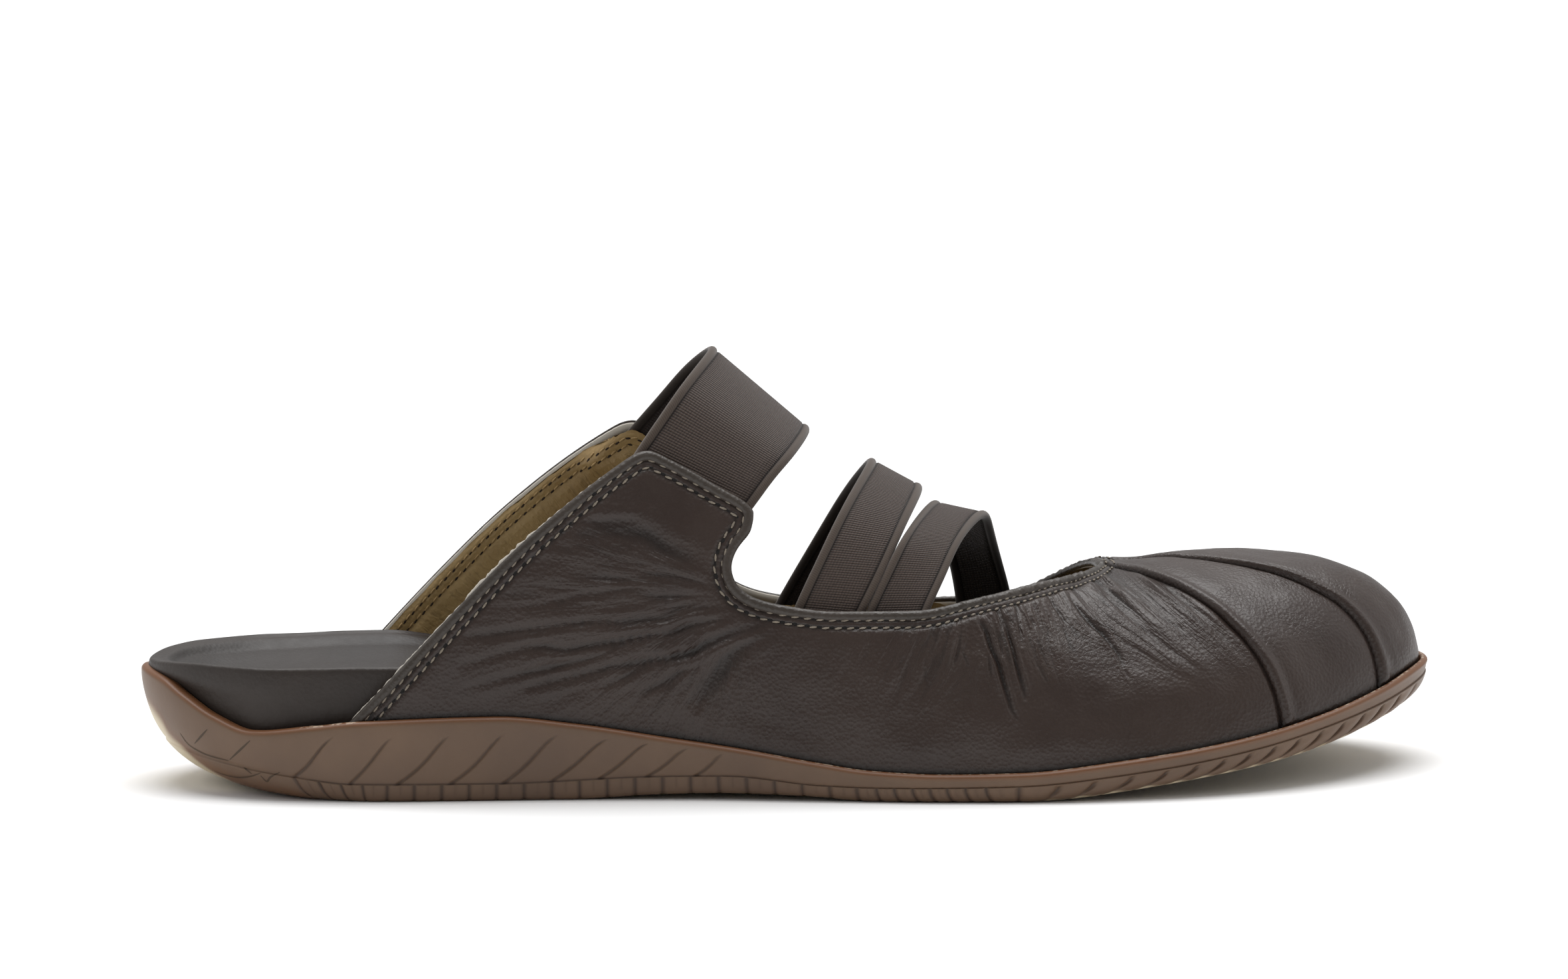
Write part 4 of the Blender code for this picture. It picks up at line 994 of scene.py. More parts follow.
def strap(name, rows):
    rear, front = strap_border(rows, 1), strap_border(rows, 3)
    width = np.linalg.norm(front - rear, axis=1)[:, None]
    across = unit(front - rear)
    inward = unit(np.cross(across, np.gradient(rear + front, axis=0)))
    inward *= -np.sign(inward[:, 2:3])
    middle = np.linspace(0, 1, 13)[1:-1]
    # The ring round the strap: one cord, the cloth, the other cord, and back behind them.
    ring = [(0, distance, depth) for distance, depth in CORD]
    ring += [(part, CORD_WIDTH - 2 * CORD_WIDTH * part, CLOTH) for part in middle]
    ring += [(1, -distance, depth) for distance, depth in CORD[::-1]]
    ring += [(1, -distance, CORD_DEPTH - depth) for distance, depth in CORD[1::2]]
    ring += [(part, CORD_WIDTH - 2 * CORD_WIDTH * part, CLOTH_BACK) for part in middle[::-2]]
    ring += [(0, distance, CORD_DEPTH - depth) for distance, depth in CORD[:0:-2]]
    share, offset, depths = np.array(ring + ring[:1]).T
    at, deep = width * share + offset, depths[None, :, None]
    points = rear[:, None] + across[:, None] * at[..., None] + inward[:, None] * deep
    arc = arc_length(rear + front) / 2
    edge = np.minimum(at, width - at)
    # Painted shade goes in the groove beside each cord and on the back of the strap.
    paint = {
        "border": fade(1.95 - edge, 0.0, 0.15), "cord_groove_shade": narrow(edge - 1.9, 0.2),
        "back": fade(depths, 0.7, 1.1)[None, :] + 0 * edge,
    }
    uv = np.stack([at, np.broadcast_to(arc[:, None], at.shape)], axis=-1)
    print(name, "width", width.mean().round(1), "length", arc[-1].round())
    return lay(name + "_cloth", points, paint, uv, merge=0.01, turned=True)

# %% [markdown]
# The cloth is a plain weave over rubber threads. It shows as fine ribs across the strap, broken
# into short floats by the lengthwise threads; both are about half a millimetre apart. The cords
# at the borders are wrapped, so only the cross ribs show there, beside a groove painted dark as
# shade. The back of the strap, which faces the foot, is painted dark as shade too.

# %% Woven elastic
def woven_elastic():
    material, tree, shader = finish_named(
        "woven_elastic_brown", Roughness=0.82, Specular_IOR_Level=0.25, Sheen_Weight=0.25,
        Sheen_Roughness=0.5,
    )
    across, along, _ = add(tree, "SeparateXYZ", (add(tree, "UVMap"),)).outputs
    border, cord_groove_shade, back = [
        add(tree, "Attribute", attribute_name=key).outputs["Fac"]
        for key in ("border", "cord_groove_shade", "back")
    ]

    def threads(source, pitch):
        turned = add(tree, "Math", (source, math.pi / pitch, 0.0), operation="MULTIPLY_ADD")
        wave = add(tree, "Math", (turned,), operation="SINE")
        return add(tree, "Math", (wave,), operation="ABSOLUTE")

    floats = add(tree, "Math", (threads(across, 0.6), 0.6, 0.4), operation="MULTIPLY_ADD")
    cloth = add(tree, "Math", (threads(along, 0.54), floats), operation="MULTIPLY")
    place = add(tree, "TexCoord").outputs["Object"]
    wool = add(tree, "TexNoise", {"Vector": place, "Scale": per_mm(0.6), "Detail": 2.0})
    lit = add(tree, "Math", (wool, 0.5, cloth), operation="MULTIPLY_ADD")
    tint = add(tree, "ValToRGB", (lit,), stops=((0.2, "#1b1411"), (1, "#4e413a")))
    slanted = add(tree, "Math", (across, 0.5, along), operation="MULTIPLY_ADD").outputs[0]
    wraps = add(tree, "Math", (wool, 0.5, threads(slanted, 0.46)), operation="MULTIPLY_ADD")
    wrap = add(tree, "ValToRGB", (wraps,), stops=((0, "#332b25"), (1, "#4d423a")))
    corded = add(tree, "Mix", {0: border, 6: tint, 7: wrap}, data_type="RGBA")
    # Painted shade: the groove between cord and cloth, and the strap's back, are darkened.
    behind = add(tree, "Math", (back, 0.7), operation="MULTIPLY")
    for shade, tone in ((cord_groove_shade, "#17110f"), (behind, "#1a1310")):
        corded = add(tree, "Mix", {0: shade, 6: corded, 7: colour(tone)}, data_type="RGBA")
    tree.links.new(corded.outputs[2], shader.inputs["Base Color"])
    flat_cord = add(tree, "Mix", {0: border, 2: cloth, 3: 0.6}, data_type="FLOAT")
    bump = add(tree, "Bump", {"Height": flat_cord.outputs[0], "Strength": 0.8, "Distance": 0.00022})
    tree.links.new(bump.outputs[0], shader.inputs["Normal"])
    return material


elastic = woven_elastic()
for name, rows in STRAPS.items():
    piece(strap(name, rows), elastic, "woven_elastic", name)

# %% [markdown]
# The lining is thin tan leather on the inner face of the wall. It stops short of the hem and
# swells where it is sewn over the root of a strap.

# %% Lining
def over_roots(points, side):
    """1 where the lining lies over the root of a strap, 0 elsewhere."""
    cover = np.zeros(points.shape[:-1])
    for rows in STRAPS.values():
        for root, mouth in ((rows[0], rows[1]), (rows[-1], rows[-2])):
            half = math.hypot(root[3] - root[1], root[4] - root[2]) / 2
            start, end = [np.array([row[1] + row[3], row[2] + row[4]]) / 2 for row in (root, mouth)]
            up = unit(end - start)
            from_root = points[..., [0, 2]] - start
            along = from_root @ up
            across = np.abs(from_root @ np.array([up[1], -up[0]]))
            over = (1 - fade(across, half + 1.2, half + 4.6)) * fade(along, -6, -1.6)
            cover = np.maximum(cover, over * (side == root[0]))
    return cover


# How far short of the free edge the lining stops.
STOPS_SHORT = Curve("x inner outer", (
    (-94, 0.75, 0.75), (-20, 0.75, 0.75), (-12, 1.4, 0.8), (-3, 1.3, 0.8), (4, 0.5, 0.8),
    (10, 0.12, 0.8), (30, 0.1, 0.5), (62, 0.1, 0.1),
))
LINING_EDGE = np.array([0.0, 0.3, 0.6, 1.0, 1.4, 1.8, 2.3, 3.0, 4.0, 5.0])
LINING_FEET, LINING_ROWS = 190, 42
IN_FROM_SKIN, SKIVED, OVER_ROOT = 1.73, 0.45, 2.6


def lining():
    outer = edge_lines(OUTER, np.linspace(BACK, OUTER_END, LINING_FEET))
    share = np.linspace(0, 1, 36)[1:, None]
    closed_x = roll_x(ROLLS[0], SAMPLES) * (1 - share) + TOE * share
    crests = closed_x[-2::-1, -1:]
    inner_x = inner_line(crests, SAMPLES)
    inner = edge_lines(INNER, np.linspace(INNER_END, BACK, LINING_FEET))
    even = np.tile(SAMPLES, (len(closed_x) + len(inner_x), 1))
    x = np.concatenate([outer[0], closed_x, inner_x, inner[0]])
    rise = np.concatenate([outer[1], even, inner[1]])
    side = np.where(np.arange(len(x)) < LINING_FEET + len(share), OUTER, INNER)[:, None]
    x, rise, side = spaced(x, rise, side, LINING_ROWS, LINING_EDGE)
    points = last_point(x, rise, side)
    out = facing(points)
    flat = points.reshape(-1, 3)
    for i, point in enumerate(flat):
        _, number, away = edge_tree.find(point)
        short = STOPS_SHORT.read("inner" if point[1] > 0 else "outer", point[0])
        if away < short:
            flat[i] += edge_in[number] * (short - away)
    away, along = edge_place(points)
    depth = IN_FROM_SKIN + SKIVED * fade(away, 0.8, 1.6) + OVER_ROOT * over_roots(points, side)
    folds = rumple(points, 7.0, 5) * 0.3 * fade(away, 3.6, 6)
    for row in STITCH_ROWS:
        depth -= 0.15 * narrow(away - row, 0.45)
    inside = points - out * (depth + folds)[..., None]
    inside[:, 0, 2] = points[:, 0, 2]
    # The lining's fine wrinkles get painted shade in their valleys, as the calf's do.
    drawn = 0.7 * fade(away, 3.8, 5.5) * (1 - fade(away, 14, 26))
    paint = {"line_number": along, "line_run": away, "drawn": drawn, "fold_shade": 0 * away}
    return lay("lining", inside, paint, merge=0.4, turned=True)


lining_mesh = lining()
piece(lining_mesh, lining_calf, "upper_leather")

# %% [markdown]
# Two rows of lockstitch run beside every free edge. Each row is the edge path moved into the
# leather, and cleared where a corner folds it over itself. Where the edge is gathered, the
# stitches are shorter.

# %% Rows of stitches
STITCH_PITCH = 2.45


def surface_of(*meshes):
    """A tree that finds the nearest place on several meshes."""
    bm = bmesh.new()
    for mesh in meshes:
        bm.from_mesh(mesh)
    tree = BVHTree.FromBMesh(bm)
    bm.free()
    return tree


def stitch_row(offset):
    """Places and directions of one row's stitches, along the whole free edge."""
    moved = edge_path + edge_in * offset
    keep = np.array([edge_tree.find(p)[2] > offset - 0.12 for p in moved])
    row, out = soften(moved[keep], 12), edge_out[keep]
    tight = 1 - 0.3 * gathered(row)
    pitch = STITCH_PITCH * (tight[1:] + tight[:-1]) / 2
    count = np.concatenate([[0], np.cumsum(np.diff(arc_length(row)) / pitch)])
    at = np.arange(0.5, count[-1], 1.0)
    place, ahead = read_at(at, count, row), read_at(at + 0.25, count, row)
    return place, unit(ahead - place), unit(read_at(at, count, out)), np.interp(at, count, tight)

# %% [markdown]
# Each row is laid on the finished skin. A stitch is a flattened bead of thread, and the needle
# hole at its end is a darker, shallower one, painted dark as its shadow. A stitch slants a little,
# as a lockstitch does.

# %% Thread and needle holes
STITCH_HALF, HOLE_HALF = (0.86, 0.24, 0.2), (0.6, 0.13)
BEADS_AT_ONCE = 24


def bead(place, run, across, normal, size):
    """Where one small rounded bead goes: its place, its three directions and its half-sizes."""
    turn = Matrix((run, across, normal)).transposed().to_4x4()
    return Matrix.Translation(place) @ turn @ Matrix.Diagonal((*[s * MM for s in size], 1.0))


def beads_mesh(name, spots):
    """One mesh of many beads, made a few at a time because an operator slows as its mesh grows."""
    whole, part = bmesh.new(), bmesh.new()
    mesh = bpy.data.meshes.new(name)
    for number, spot in enumerate(spots, 1):
        bmesh.ops.create_uvsphere(part, u_segments=6, v_segments=5, radius=1.0, matrix=spot)
        if number % BEADS_AT_ONCE == 0 or number == len(spots):
            part.to_mesh(mesh)
            whole.from_mesh(mesh)
            part.clear()
    whole.to_mesh(mesh)
    whole.free()
    part.free()
    mesh.shade_smooth()
    return mesh


def sew(name, surface, thread, hole, hole_width, inside=False):
    """Both rows of one skin: every stitch, and a dark bead for the shadow of the hole where its end
    goes in.
    """
    stitches, holes = [], []
    for offset in STITCH_ROWS:
        for place, run, out, tight in zip(*stitch_row(offset)):
            out = Vector(-out if inside else out)
            hit, normal, _, _ = surface.ray_cast(Vector(place * MM) + out * 6 * MM, -out, 14 * MM)
            if hit is None:
                continue
            normal = normal if normal.dot(out) > 0 else -normal
            across = normal.cross(Vector(run)).normalized()
            run = (across.cross(normal) + across * 0.16).normalized()
            across = normal.cross(run).normalized()
            turned = run, across, normal
            end = hit + run * (STITCH_PITCH / 2) * tight * MM
            long, wide, high = STITCH_HALF
            stitches.append(bead(hit + normal * 0.1 * MM, *turned, (long * tight, wide, high)))
            long, high = HOLE_HALF
            holes.append(bead(end, *turned, (long * tight, hole_width, high)))
    piece(beads_mesh(name + "_stitches", stitches), thread, "upper_leather")
    piece(beads_mesh(name + "_needle_hole_shadows", holes), hole, "upper_leather")


outside = surface_of(vamp_mesh, band_mesh, toe_mesh)
sew("outside", outside, grey_thread, needle_hole_shadow, 0.36)
sew("inside", surface_of(lining_mesh), tan_thread, lining_hole_shadow, 0.24, inside=True)

# %% [markdown]
# The footbed is a shaped foam block under one piece of leather. At the heel its side shows above
# the cup, and the cover rolls over a soft edge into a shallow dish.

# %% Footbed
BED = Curve("x inset rim dish bulge", (
    (-130, 3.4, 24.7, 3, 1.9), (-126, 3.4, 25.4, 3.4, 1.8), (-120, 3.5, 25.8, 3.8, 1.3),
    (-108, 3.8, 25.7, 4, 0.6), (-97, 4.8, 25.8, 3.9, 0), (-90, 5.2, 26, 3.8, 0),
    (-80, 5.4, 26, 3.6, 0), (-70, 5.4, 24.9, 3, 0), (-45, 5.4, 20.8, 1.6, 0),
    (-15, 5.4, 14.4, 1, 0), (15, 5.3, 9.2, 0.8, 0), (45, 5.2, 7.9, 0.7, 0), (60, 5.2, 8.8, 0.7, 0),
    (80, 5.2, 11, 0.6, 0), (100, 5.2, 14.2, 0.5, 0), (115, 5.2, 17.6, 0.4, 0),
    (125, 5.2, 20.6, 0.3, 0), (130, 5.2, 22, 0.3, 0),
))
BED_SIDE = Curve("row part inset bulge", (
    (0, 0, 0.9, 0), (1, 0.12, 0.35, 0), (2, 0.3, 0.1, 0), (3, 0.52, 0, 0.2), (4, 0.68, 0, 0.8),
    (5, 0.8, 0.02, 1), (6, 0.9, 0.1, 1), (7, 0.95, 0.22, 1), (8, 0.985, 0.5, 1), (9, 1, 0.95, 0.9),
    (10, 0.985, 1.5, 0.7), (11, 0.965, 2.2, 0.5),
))


def rounds(count):
    """Stations from the heel tip along the outer side to the toe, and back along the inner side."""
    turn = np.linspace(0, math.pi, count)
    x = -TOE * np.cos(turn)
    return np.concatenate([x, x[-2::-1]]), np.where(np.arange(2 * count - 1) < count, OUTER, INNER)


BED_STATIONS = 260


def footbed():
    x, side = rounds(BED_STATIONS)
    row = np.linspace(0, 11, 34)
    part, inset = BED_SIDE.read("part", row), BED_SIDE.read("inset", row)
    grid_x, grid_side = np.broadcast_arrays(x[:, None], side[:, None])
    bulge = BED.read("bulge", grid_x) * BED_SIDE.read("bulge", row)
    moved_in = BED.read("inset", grid_x) + inset - bulge
    plan = edge_point(grid_x + 0 * inset, grid_side + 0 * inset, moved_in)
    low = FLOOR.read("z", plan[..., 0]) + 0.4
    wall = at_height(plan, low + (BED.read("rim", grid_x) - low) * part)
    inward = np.linspace(0, 1, 40)[1:]
    rim = plan[:, -1:, :]
    top = rim + (spine_point(x)[:, None] - rim) * inward[None, :, None]
    along = top[..., 0] + (x[:, None] - rim[..., 0]) * (1 - inward)
    dish = BED.read("dish", along) * (0.4 * fade(inward, 0.0, 0.22) + 0.6 * fade(inward, 0.05, 0.8))
    rim_end = wall[:, -1:, 2] - BED.read("rim", x[:, None])
    cover = at_height(top, BED.read("rim", along) + rim_end - dish)
    points = np.concatenate([wall, cover], axis=1)
    soft = rumple(points, 26.0, 9) * 0.15 * fade(points[..., 2] - RIM.read("z", x)[:, None], 1, 5)
    points[..., 2] += soft * np.concatenate([part * 0.3, inward * 0 + 0.6])
    shaded = np.concatenate([0 * part, 0.35 * fade(inward, 0, 0.1)]) + 0 * soft
    return lay("footbed_cover", points, {"fold_shade": shaded}, merge=0.02)


piece(footbed(), bed_calf, "footbed_leather", "footbed")

# %% [markdown]
# The cup sole is moulded in brown gum rubber. Its wall has a smooth rim, slanted grooves at the
# heel and the waist, and a ribbed band above the ground. Ahead of the ball the ribs turn into
# slanted, S-shaped lugs. First come the curves that it is drawn from.

# %% Curves of the sole's wall
CURL = Curve("x inset", ((-85, 2.5), (0, 2.5), (60, 3), (130, 4)))
BAND = Curve("x z", (
    (-130, 8.6), (-104.4, 5), (-91, 3.5), (-61, 3.4), (-31, 4.6), (-16, 4.8), (1.5, 3.2), (13, 2.9),
    (40, 3.3), (59, 4.9), (88, 8.7), (117, 14.5), (130, 18),
))
RIM_WALL = Curve("x wall", ((-130, 3.2), (-98, 3.2), (-95.2, 1.6), (130, 1.6)))
ABOVE_BAND = Curve("part inset", (
    (0, 0.35), (0.02, 0.6), (0.05, 0.5), (0.12, 0.42), (0.5, 0.3), (0.75, 0.1), (0.86, 0.04),
    (0.93, 0.06), (1, 0.1),
))
PALE_HEEL = Curve("x z", (
    (-130, 16.2), (-128.5, 15.6), (-127.1, 14.2), (-126, 12.8), (-124.7, 10.4), (-122.5, 8.7),
    (-120.3, 6.9), (-117.7, 5), (-115.2, 3.6), (-112.6, 2.4), (-110.1, 1.5), (-107.2, 1),
    (-104, 0.6), (-99.8, 0.3), (-92, 0.1), (130, 0.1),
))
GROOVES = Curve("foot lean top", (
    (-130, 2.4, 0.5), (-120, 2.4, 0.55), (-113.5, 3.9, 0.6), (-104.4, 10, 0.74), (-91.4, 9.3, 0.7),
    (-81, 10.1, 0.7), (-70.5, 10.2, 0.71), (-60.1, 9.7, 0.74), (-50.7, 10, 0.75),
    (-41.2, 8.4, 0.76), (-31.9, 7, 0.76), (-22.4, 4.9, 0.72), (-8, 0, 0.7), (130, 0, 0.7),
))
GROOVE_FEET = GROOVES.key[3:12]
RIBS = Curve("x count lean", (
    (-130, -5, 2), (-104.4, 0, 1.6), (-88, 3.05, 0.2), (3.6, 20, -0.3), (9, 21, -0.5),
    (13.2, 22, -0.9), (17, 23, -1.2), (35, 28, -1.4), (40, 29, 0), (44.6, 30, 3.4), (50.2, 31, 5),
    (56.8, 32, 6), (63.5, 33, 6.3), (69.7, 34, 6.4), (75.4, 35, 6.4), (102.5, 40, 5.6),
    (118, 43, 4), (130, 45.4, 2),
))
HEEL_START, HEEL_TREAD, HEEL_WIDTH = -85, 19, 1 - 2.5 / 33
HEEL_CURL = 2.3


def tread_foot(x, side):
    """Where the wall meets the tread: curled well in at the heel, a little elsewhere."""
    plain_foot = edge_point(x, side, CURL.read("inset", x))
    back = np.clip((HEEL_START - x) / (TOE + HEEL_START), 0, 1)
    width = outline_at(turn_at(x), side)[..., 1] * HEEL_WIDTH
    under_heel = np.stack([HEEL_START - HEEL_TREAD * back, width], axis=-1)
    return np.where((x < HEEL_START)[..., None], under_heel, plain_foot)


def wall_point(x, side, part, inset):
    top, foot = edge_point(x, side, inset), tread_foot(x, side)
    curl = 1 - (1 - (1 - part) ** HEEL_CURL) ** (1 / HEEL_CURL)
    plan = top + (foot - top) * curl[..., None]
    low = TREAD.read("z", foot[..., 0])
    return at_height(plan, low + (RIM.read("z", x) - low) * part)

# %% [markdown]
# The ribs are counted along the sole, so a whole number is a notch and the tread's bars can keep
# step with them. Behind the ball each rib has a fainter line down its middle. Ahead of it the
# notches are widest half-way up, and the lugs between them are rounded.

# %% Notches and lugs of the band
def rib_marks(x, height):
    """Notches of the band, and, ahead of the ball, how far a point is from its lug's top."""
    count = RIBS.read("count", x)
    run = np.maximum(np.abs(np.gradient(x, axis=0)), 1e-6)
    pitch = 1 / np.maximum(np.abs(np.gradient(count, axis=0)) / run, 0.05)
    share = count - np.floor(count)
    notch, middle = np.abs(count - np.rint(count)) * pitch, np.abs(share - 0.5) * pitch
    rear = narrow(notch, 0.38) * fade(height, -0.1, 0.1)
    rear += 0.28 * narrow(middle, 0.24) * fade(height, 0.25, 0.5)
    front = narrow(notch, 0.24 + 0.22 * narrow(height - 0.5, 0.25))
    front *= 0.4 + 0.5 * fade(height, 0.2, 0.5)
    front *= 1 - fade(height, 0.78, 0.95)
    ahead = fade(x, 39, 45)
    ends = fade(x, -108, -103) * (1 - fade(x, 120, 126))
    lugs = (1 - np.sin(math.pi * share)) * ahead * ends * (1 - fade(height, 0.75, 1))
    return (rear * (1 - ahead) + front * ahead) * ends, lugs, share

# %% [markdown]
# The wall is laid as rings from inside the rim down to the tread. Its columns lean with the
# grooves and the lugs, so a few rows are enough to draw them sharply. Worn edges, glue, painted
# shade in the grooves and a painted glow on the rim are all painted on at the same time.

# %% Wall of the cup sole
WALL_STATIONS = 1000
RIM_RADIUS, RIM_ABOVE_CROWN = 1.15, 0.1
ABOVE = np.array([
    1, 0.99, 0.975, 0.955, 0.93, 0.9, 0.86, 0.8, 0.74, 0.68, 0.61, 0.54, 0.47, 0.4, 0.33, 0.26,
    0.19, 0.13, 0.09, 0.055, 0.03, 0.012, 0,
])
BELOW = np.array([0.98, 0.95, 0.9, 0.83, 0.74, 0.65, 0.56, 0.47, 0.38, 0.29, 0.2, 0.12, 0.05, 0])


def on_rows(above, below):
    """A value for every row of the wall: above the band, then on it."""
    return np.concatenate([above, below])[None, :]


def groove_lines(x, height):
    """The slanted grooves. They are widest at the band and taper out below the rim."""
    climbed = on_rows(ABOVE, 0 * BELOW) / GROOVES.read("top", x)
    width = 0.5 - 0.28 * np.clip(climbed, 0, 1)
    cut = (height > 1) * (1 - fade(climbed, 0.94, 1.08))
    return np.max([narrow(x - foot, width) * cut for foot in GROOVE_FEET], axis=0)


def rings_inside(x, side, rim_z):
    """Three rings inside the rim: one on the cup's floor, and two that round the rim over."""
    thick = RIM_WALL.read("wall", x)
    inner, crown = edge_point(x, side, thick), edge_point(x, side, thick * 0.85)
    low = FLOOR.read("z", inner[..., 0])
    places = (inner, low), (inner, rim_z - 0.5), (crown, rim_z - RIM_ABOVE_CROWN)
    return [at_height(plan, z) for plan, z in places]


def sole_wall():
    x, side = rounds(WALL_STATIONS)
    x, side = x[:, None], side[:, None]
    # A column leans as it climbs: with the lugs on the band, and with the grooves above it.
    rounded = np.sin(math.pi * np.clip((TOE - np.abs(x)) / 12, 0, 0.5))
    climb = ABOVE + 0.04 * np.sin(2 * math.pi * ABOVE)
    lug_lean = RIBS.read("lean", x)
    groove_lean = GROOVES.read("lean", x) * climb / 0.7 + lug_lean * (1 - climb) ** 2
    lean = np.concatenate([groove_lean, lug_lean * BELOW * (2 - BELOW)], axis=1)
    started, side = np.broadcast_arrays(x, side, lean)[:2]
    x = np.clip(x + lean * rounded, -TOE, TOE)
    # Height goes from 0 to 1 up the band, and part from 0 at the tread to 1 at the rim.
    height = on_rows(np.full(len(ABOVE), 1.5), BELOW) + 0 * x
    foot_z, rim_z = TREAD.read("z", tread_foot(x, side)[..., 0]), RIM.read("z", x)
    band = (BAND.read("z", x) - foot_z) / (rim_z - foot_z)
    over, on = band[:, : len(ABOVE)], band[:, len(ABOVE) :]
    part = np.concatenate([over * (1 - ABOVE) + ABOVE, on * BELOW], axis=1)
    # The rim rounds over, the band stands out from the wall above it, and all else is cut in.
    band_inset = 0.16 + 0.35 * (1 - fade(BELOW, 0.0, 0.12))
    inset = on_rows(ABOVE_BAND.read("inset", ABOVE), band_inset) + 0 * x
    below_rim = (1 - part) * (rim_z - foot_z)
    fallen = np.maximum(RIM_RADIUS - below_rim, 0)
    rolled = RIM_RADIUS - np.sqrt(np.maximum(RIM_RADIUS**2 - fallen**2, 0))
    marks, lugs, share = rib_marks(started, np.minimum(height, 1))
    marks, lugs = marks * (height <= 1), lugs * (height <= 1)
    lines = groove_lines(started, height)
    moved_in = np.maximum(inset, rolled) + 0.6 * marks + 0.4 * lines + 0.5 * lugs
    points = wall_point(x, side, part, moved_in)
    points[..., 2] += 0.35 * marks * (height < 0.1)
    # Painted shade: dark lines lie in the grooves and notches, and just above the band's edge.
    seam = narrow(on_rows(ABOVE, 1 + 0 * BELOW) - 0.01, 0.016) * (0.8 - 0.5 * fade(x, 30, 46))
    line = np.clip(marks * 0.95 + lines * 0.75 + seam * fade(x, -102, -97), 0, 1)
    # The rim's top is painted warmer, as a painted glow of light through the thin rubber. The pale
    # tread wraps up round the heel, with a worn edge above it, and shows as slivers under the lugs.
    over_pale = points[..., 2] + 0.5 - PALE_HEEL.read("z", points[..., 0])
    blur = 0.25 + 1.9 * (1 - fade(np.abs(points[..., 1]), 6, 20))
    worn = 0.9 * (1 - fade(over_pale, 0.3, 3.4)) * fade(-x, 102, 108)
    rim = np.maximum(1 - fade(below_rim, 0.25, 1.1 + 0.5 * fade(x, 0, 40)), worn)
    over_tread = part * (rim_z - foot_z) - 0.5 * (1 - share)
    slivers = (1 - fade(over_tread, 0, 0.2)) * fade(x, 40, 56)
    pale = np.maximum(slivers, (1 - fade(over_pale / blur, -0.5, 1)) * fade(-x, 98, 104))
    # The rings inside come first. Glue shows on the crown of the rim, along the whole forefoot
    # and on one patch near the heel.
    first = x[:, :1]
    points = np.concatenate([*rings_inside(first, side[:, :1], rim_z[:, :1]), points], axis=1)
    inside = np.zeros((len(x), 3))
    paint = {"line": line, "rim": rim, "pale": pale, "glue": 0 * x}
    for key, values in paint.items():
        # The rings inside the rim take the rim's painted glow.
        paint[key] = np.concatenate([inside + (key == "rim"), values], axis=1)
    at_heel = fade(first, -101, -98) * (1 - fade(first, -90, -86))
    paint["glue"][:, 2:5] = fade(first, -14, -2) + at_heel
    return lay("sole_wall", points, paint, turned=True)

# %% [markdown]
# The tread is lighter, softer rubber. Wavy bars run across it in step with the ribs of the band,
# and a fine channel follows its border.

# %% Tread
TREAD_STATIONS = 540
BAR_PITCH, CHANNEL_IN, TREAD_DEPTH = 5.2, 6.0, 0.9


def tread():
    x, side = rounds(TREAD_STATIONS)
    share = np.concatenate([np.linspace(0, 0.3, 30)[:-1], np.linspace(0.3, 1, 50)])
    foot = tread_foot(x[:, None], side[:, None])
    other = tread_foot(x[:, None], -side[:, None])
    middle = (foot + other) / 2
    plan = foot + (middle - foot) * share[None, :, None]
    z = TREAD.read("z", plan[..., 0])
    half_width = np.linalg.norm(middle - foot, axis=-1)
    width = half_width * share
    wave = 2.6 * np.sin(plan[..., 1] / 5.2) * fade(width, 0.5, 7.0)
    across = plan[..., 0] + wave
    count = RIBS.read("count", across)
    gap = np.abs(count - np.rint(count)) * BAR_PITCH
    bars = narrow(gap, 0.55) * fade(width, 0.0, 1.2) * (1 - narrow(width - 6.5, 0.9))
    bars = bars * fade(x, -124, -110)[:, None] * (1 - fade(x, 118, 126))[:, None]
    channel = narrow(width - CHANNEL_IN, 0.45) * fade(half_width, 7.0, 9.0)
    # The bars and the channel are painted darker as shade.
    depth = np.maximum(bars, channel)
    return lay("tread", at_height(plan, z + TREAD_DEPTH * depth), {"line": depth}, turned=True)

# %% [markdown]
# Gum rubber is moulded natural rubber. It is a little translucent, which softens its shade, and
# the mould leaves a satin skin. The rim is painted warmer, as a glow of light through the thin
# rubber, the grooves are painted darker as shade, and specks of dried glue show where the upper was
# cemented in.

# %% Gum rubber
DRIED_GLUE = "#b7a48f"


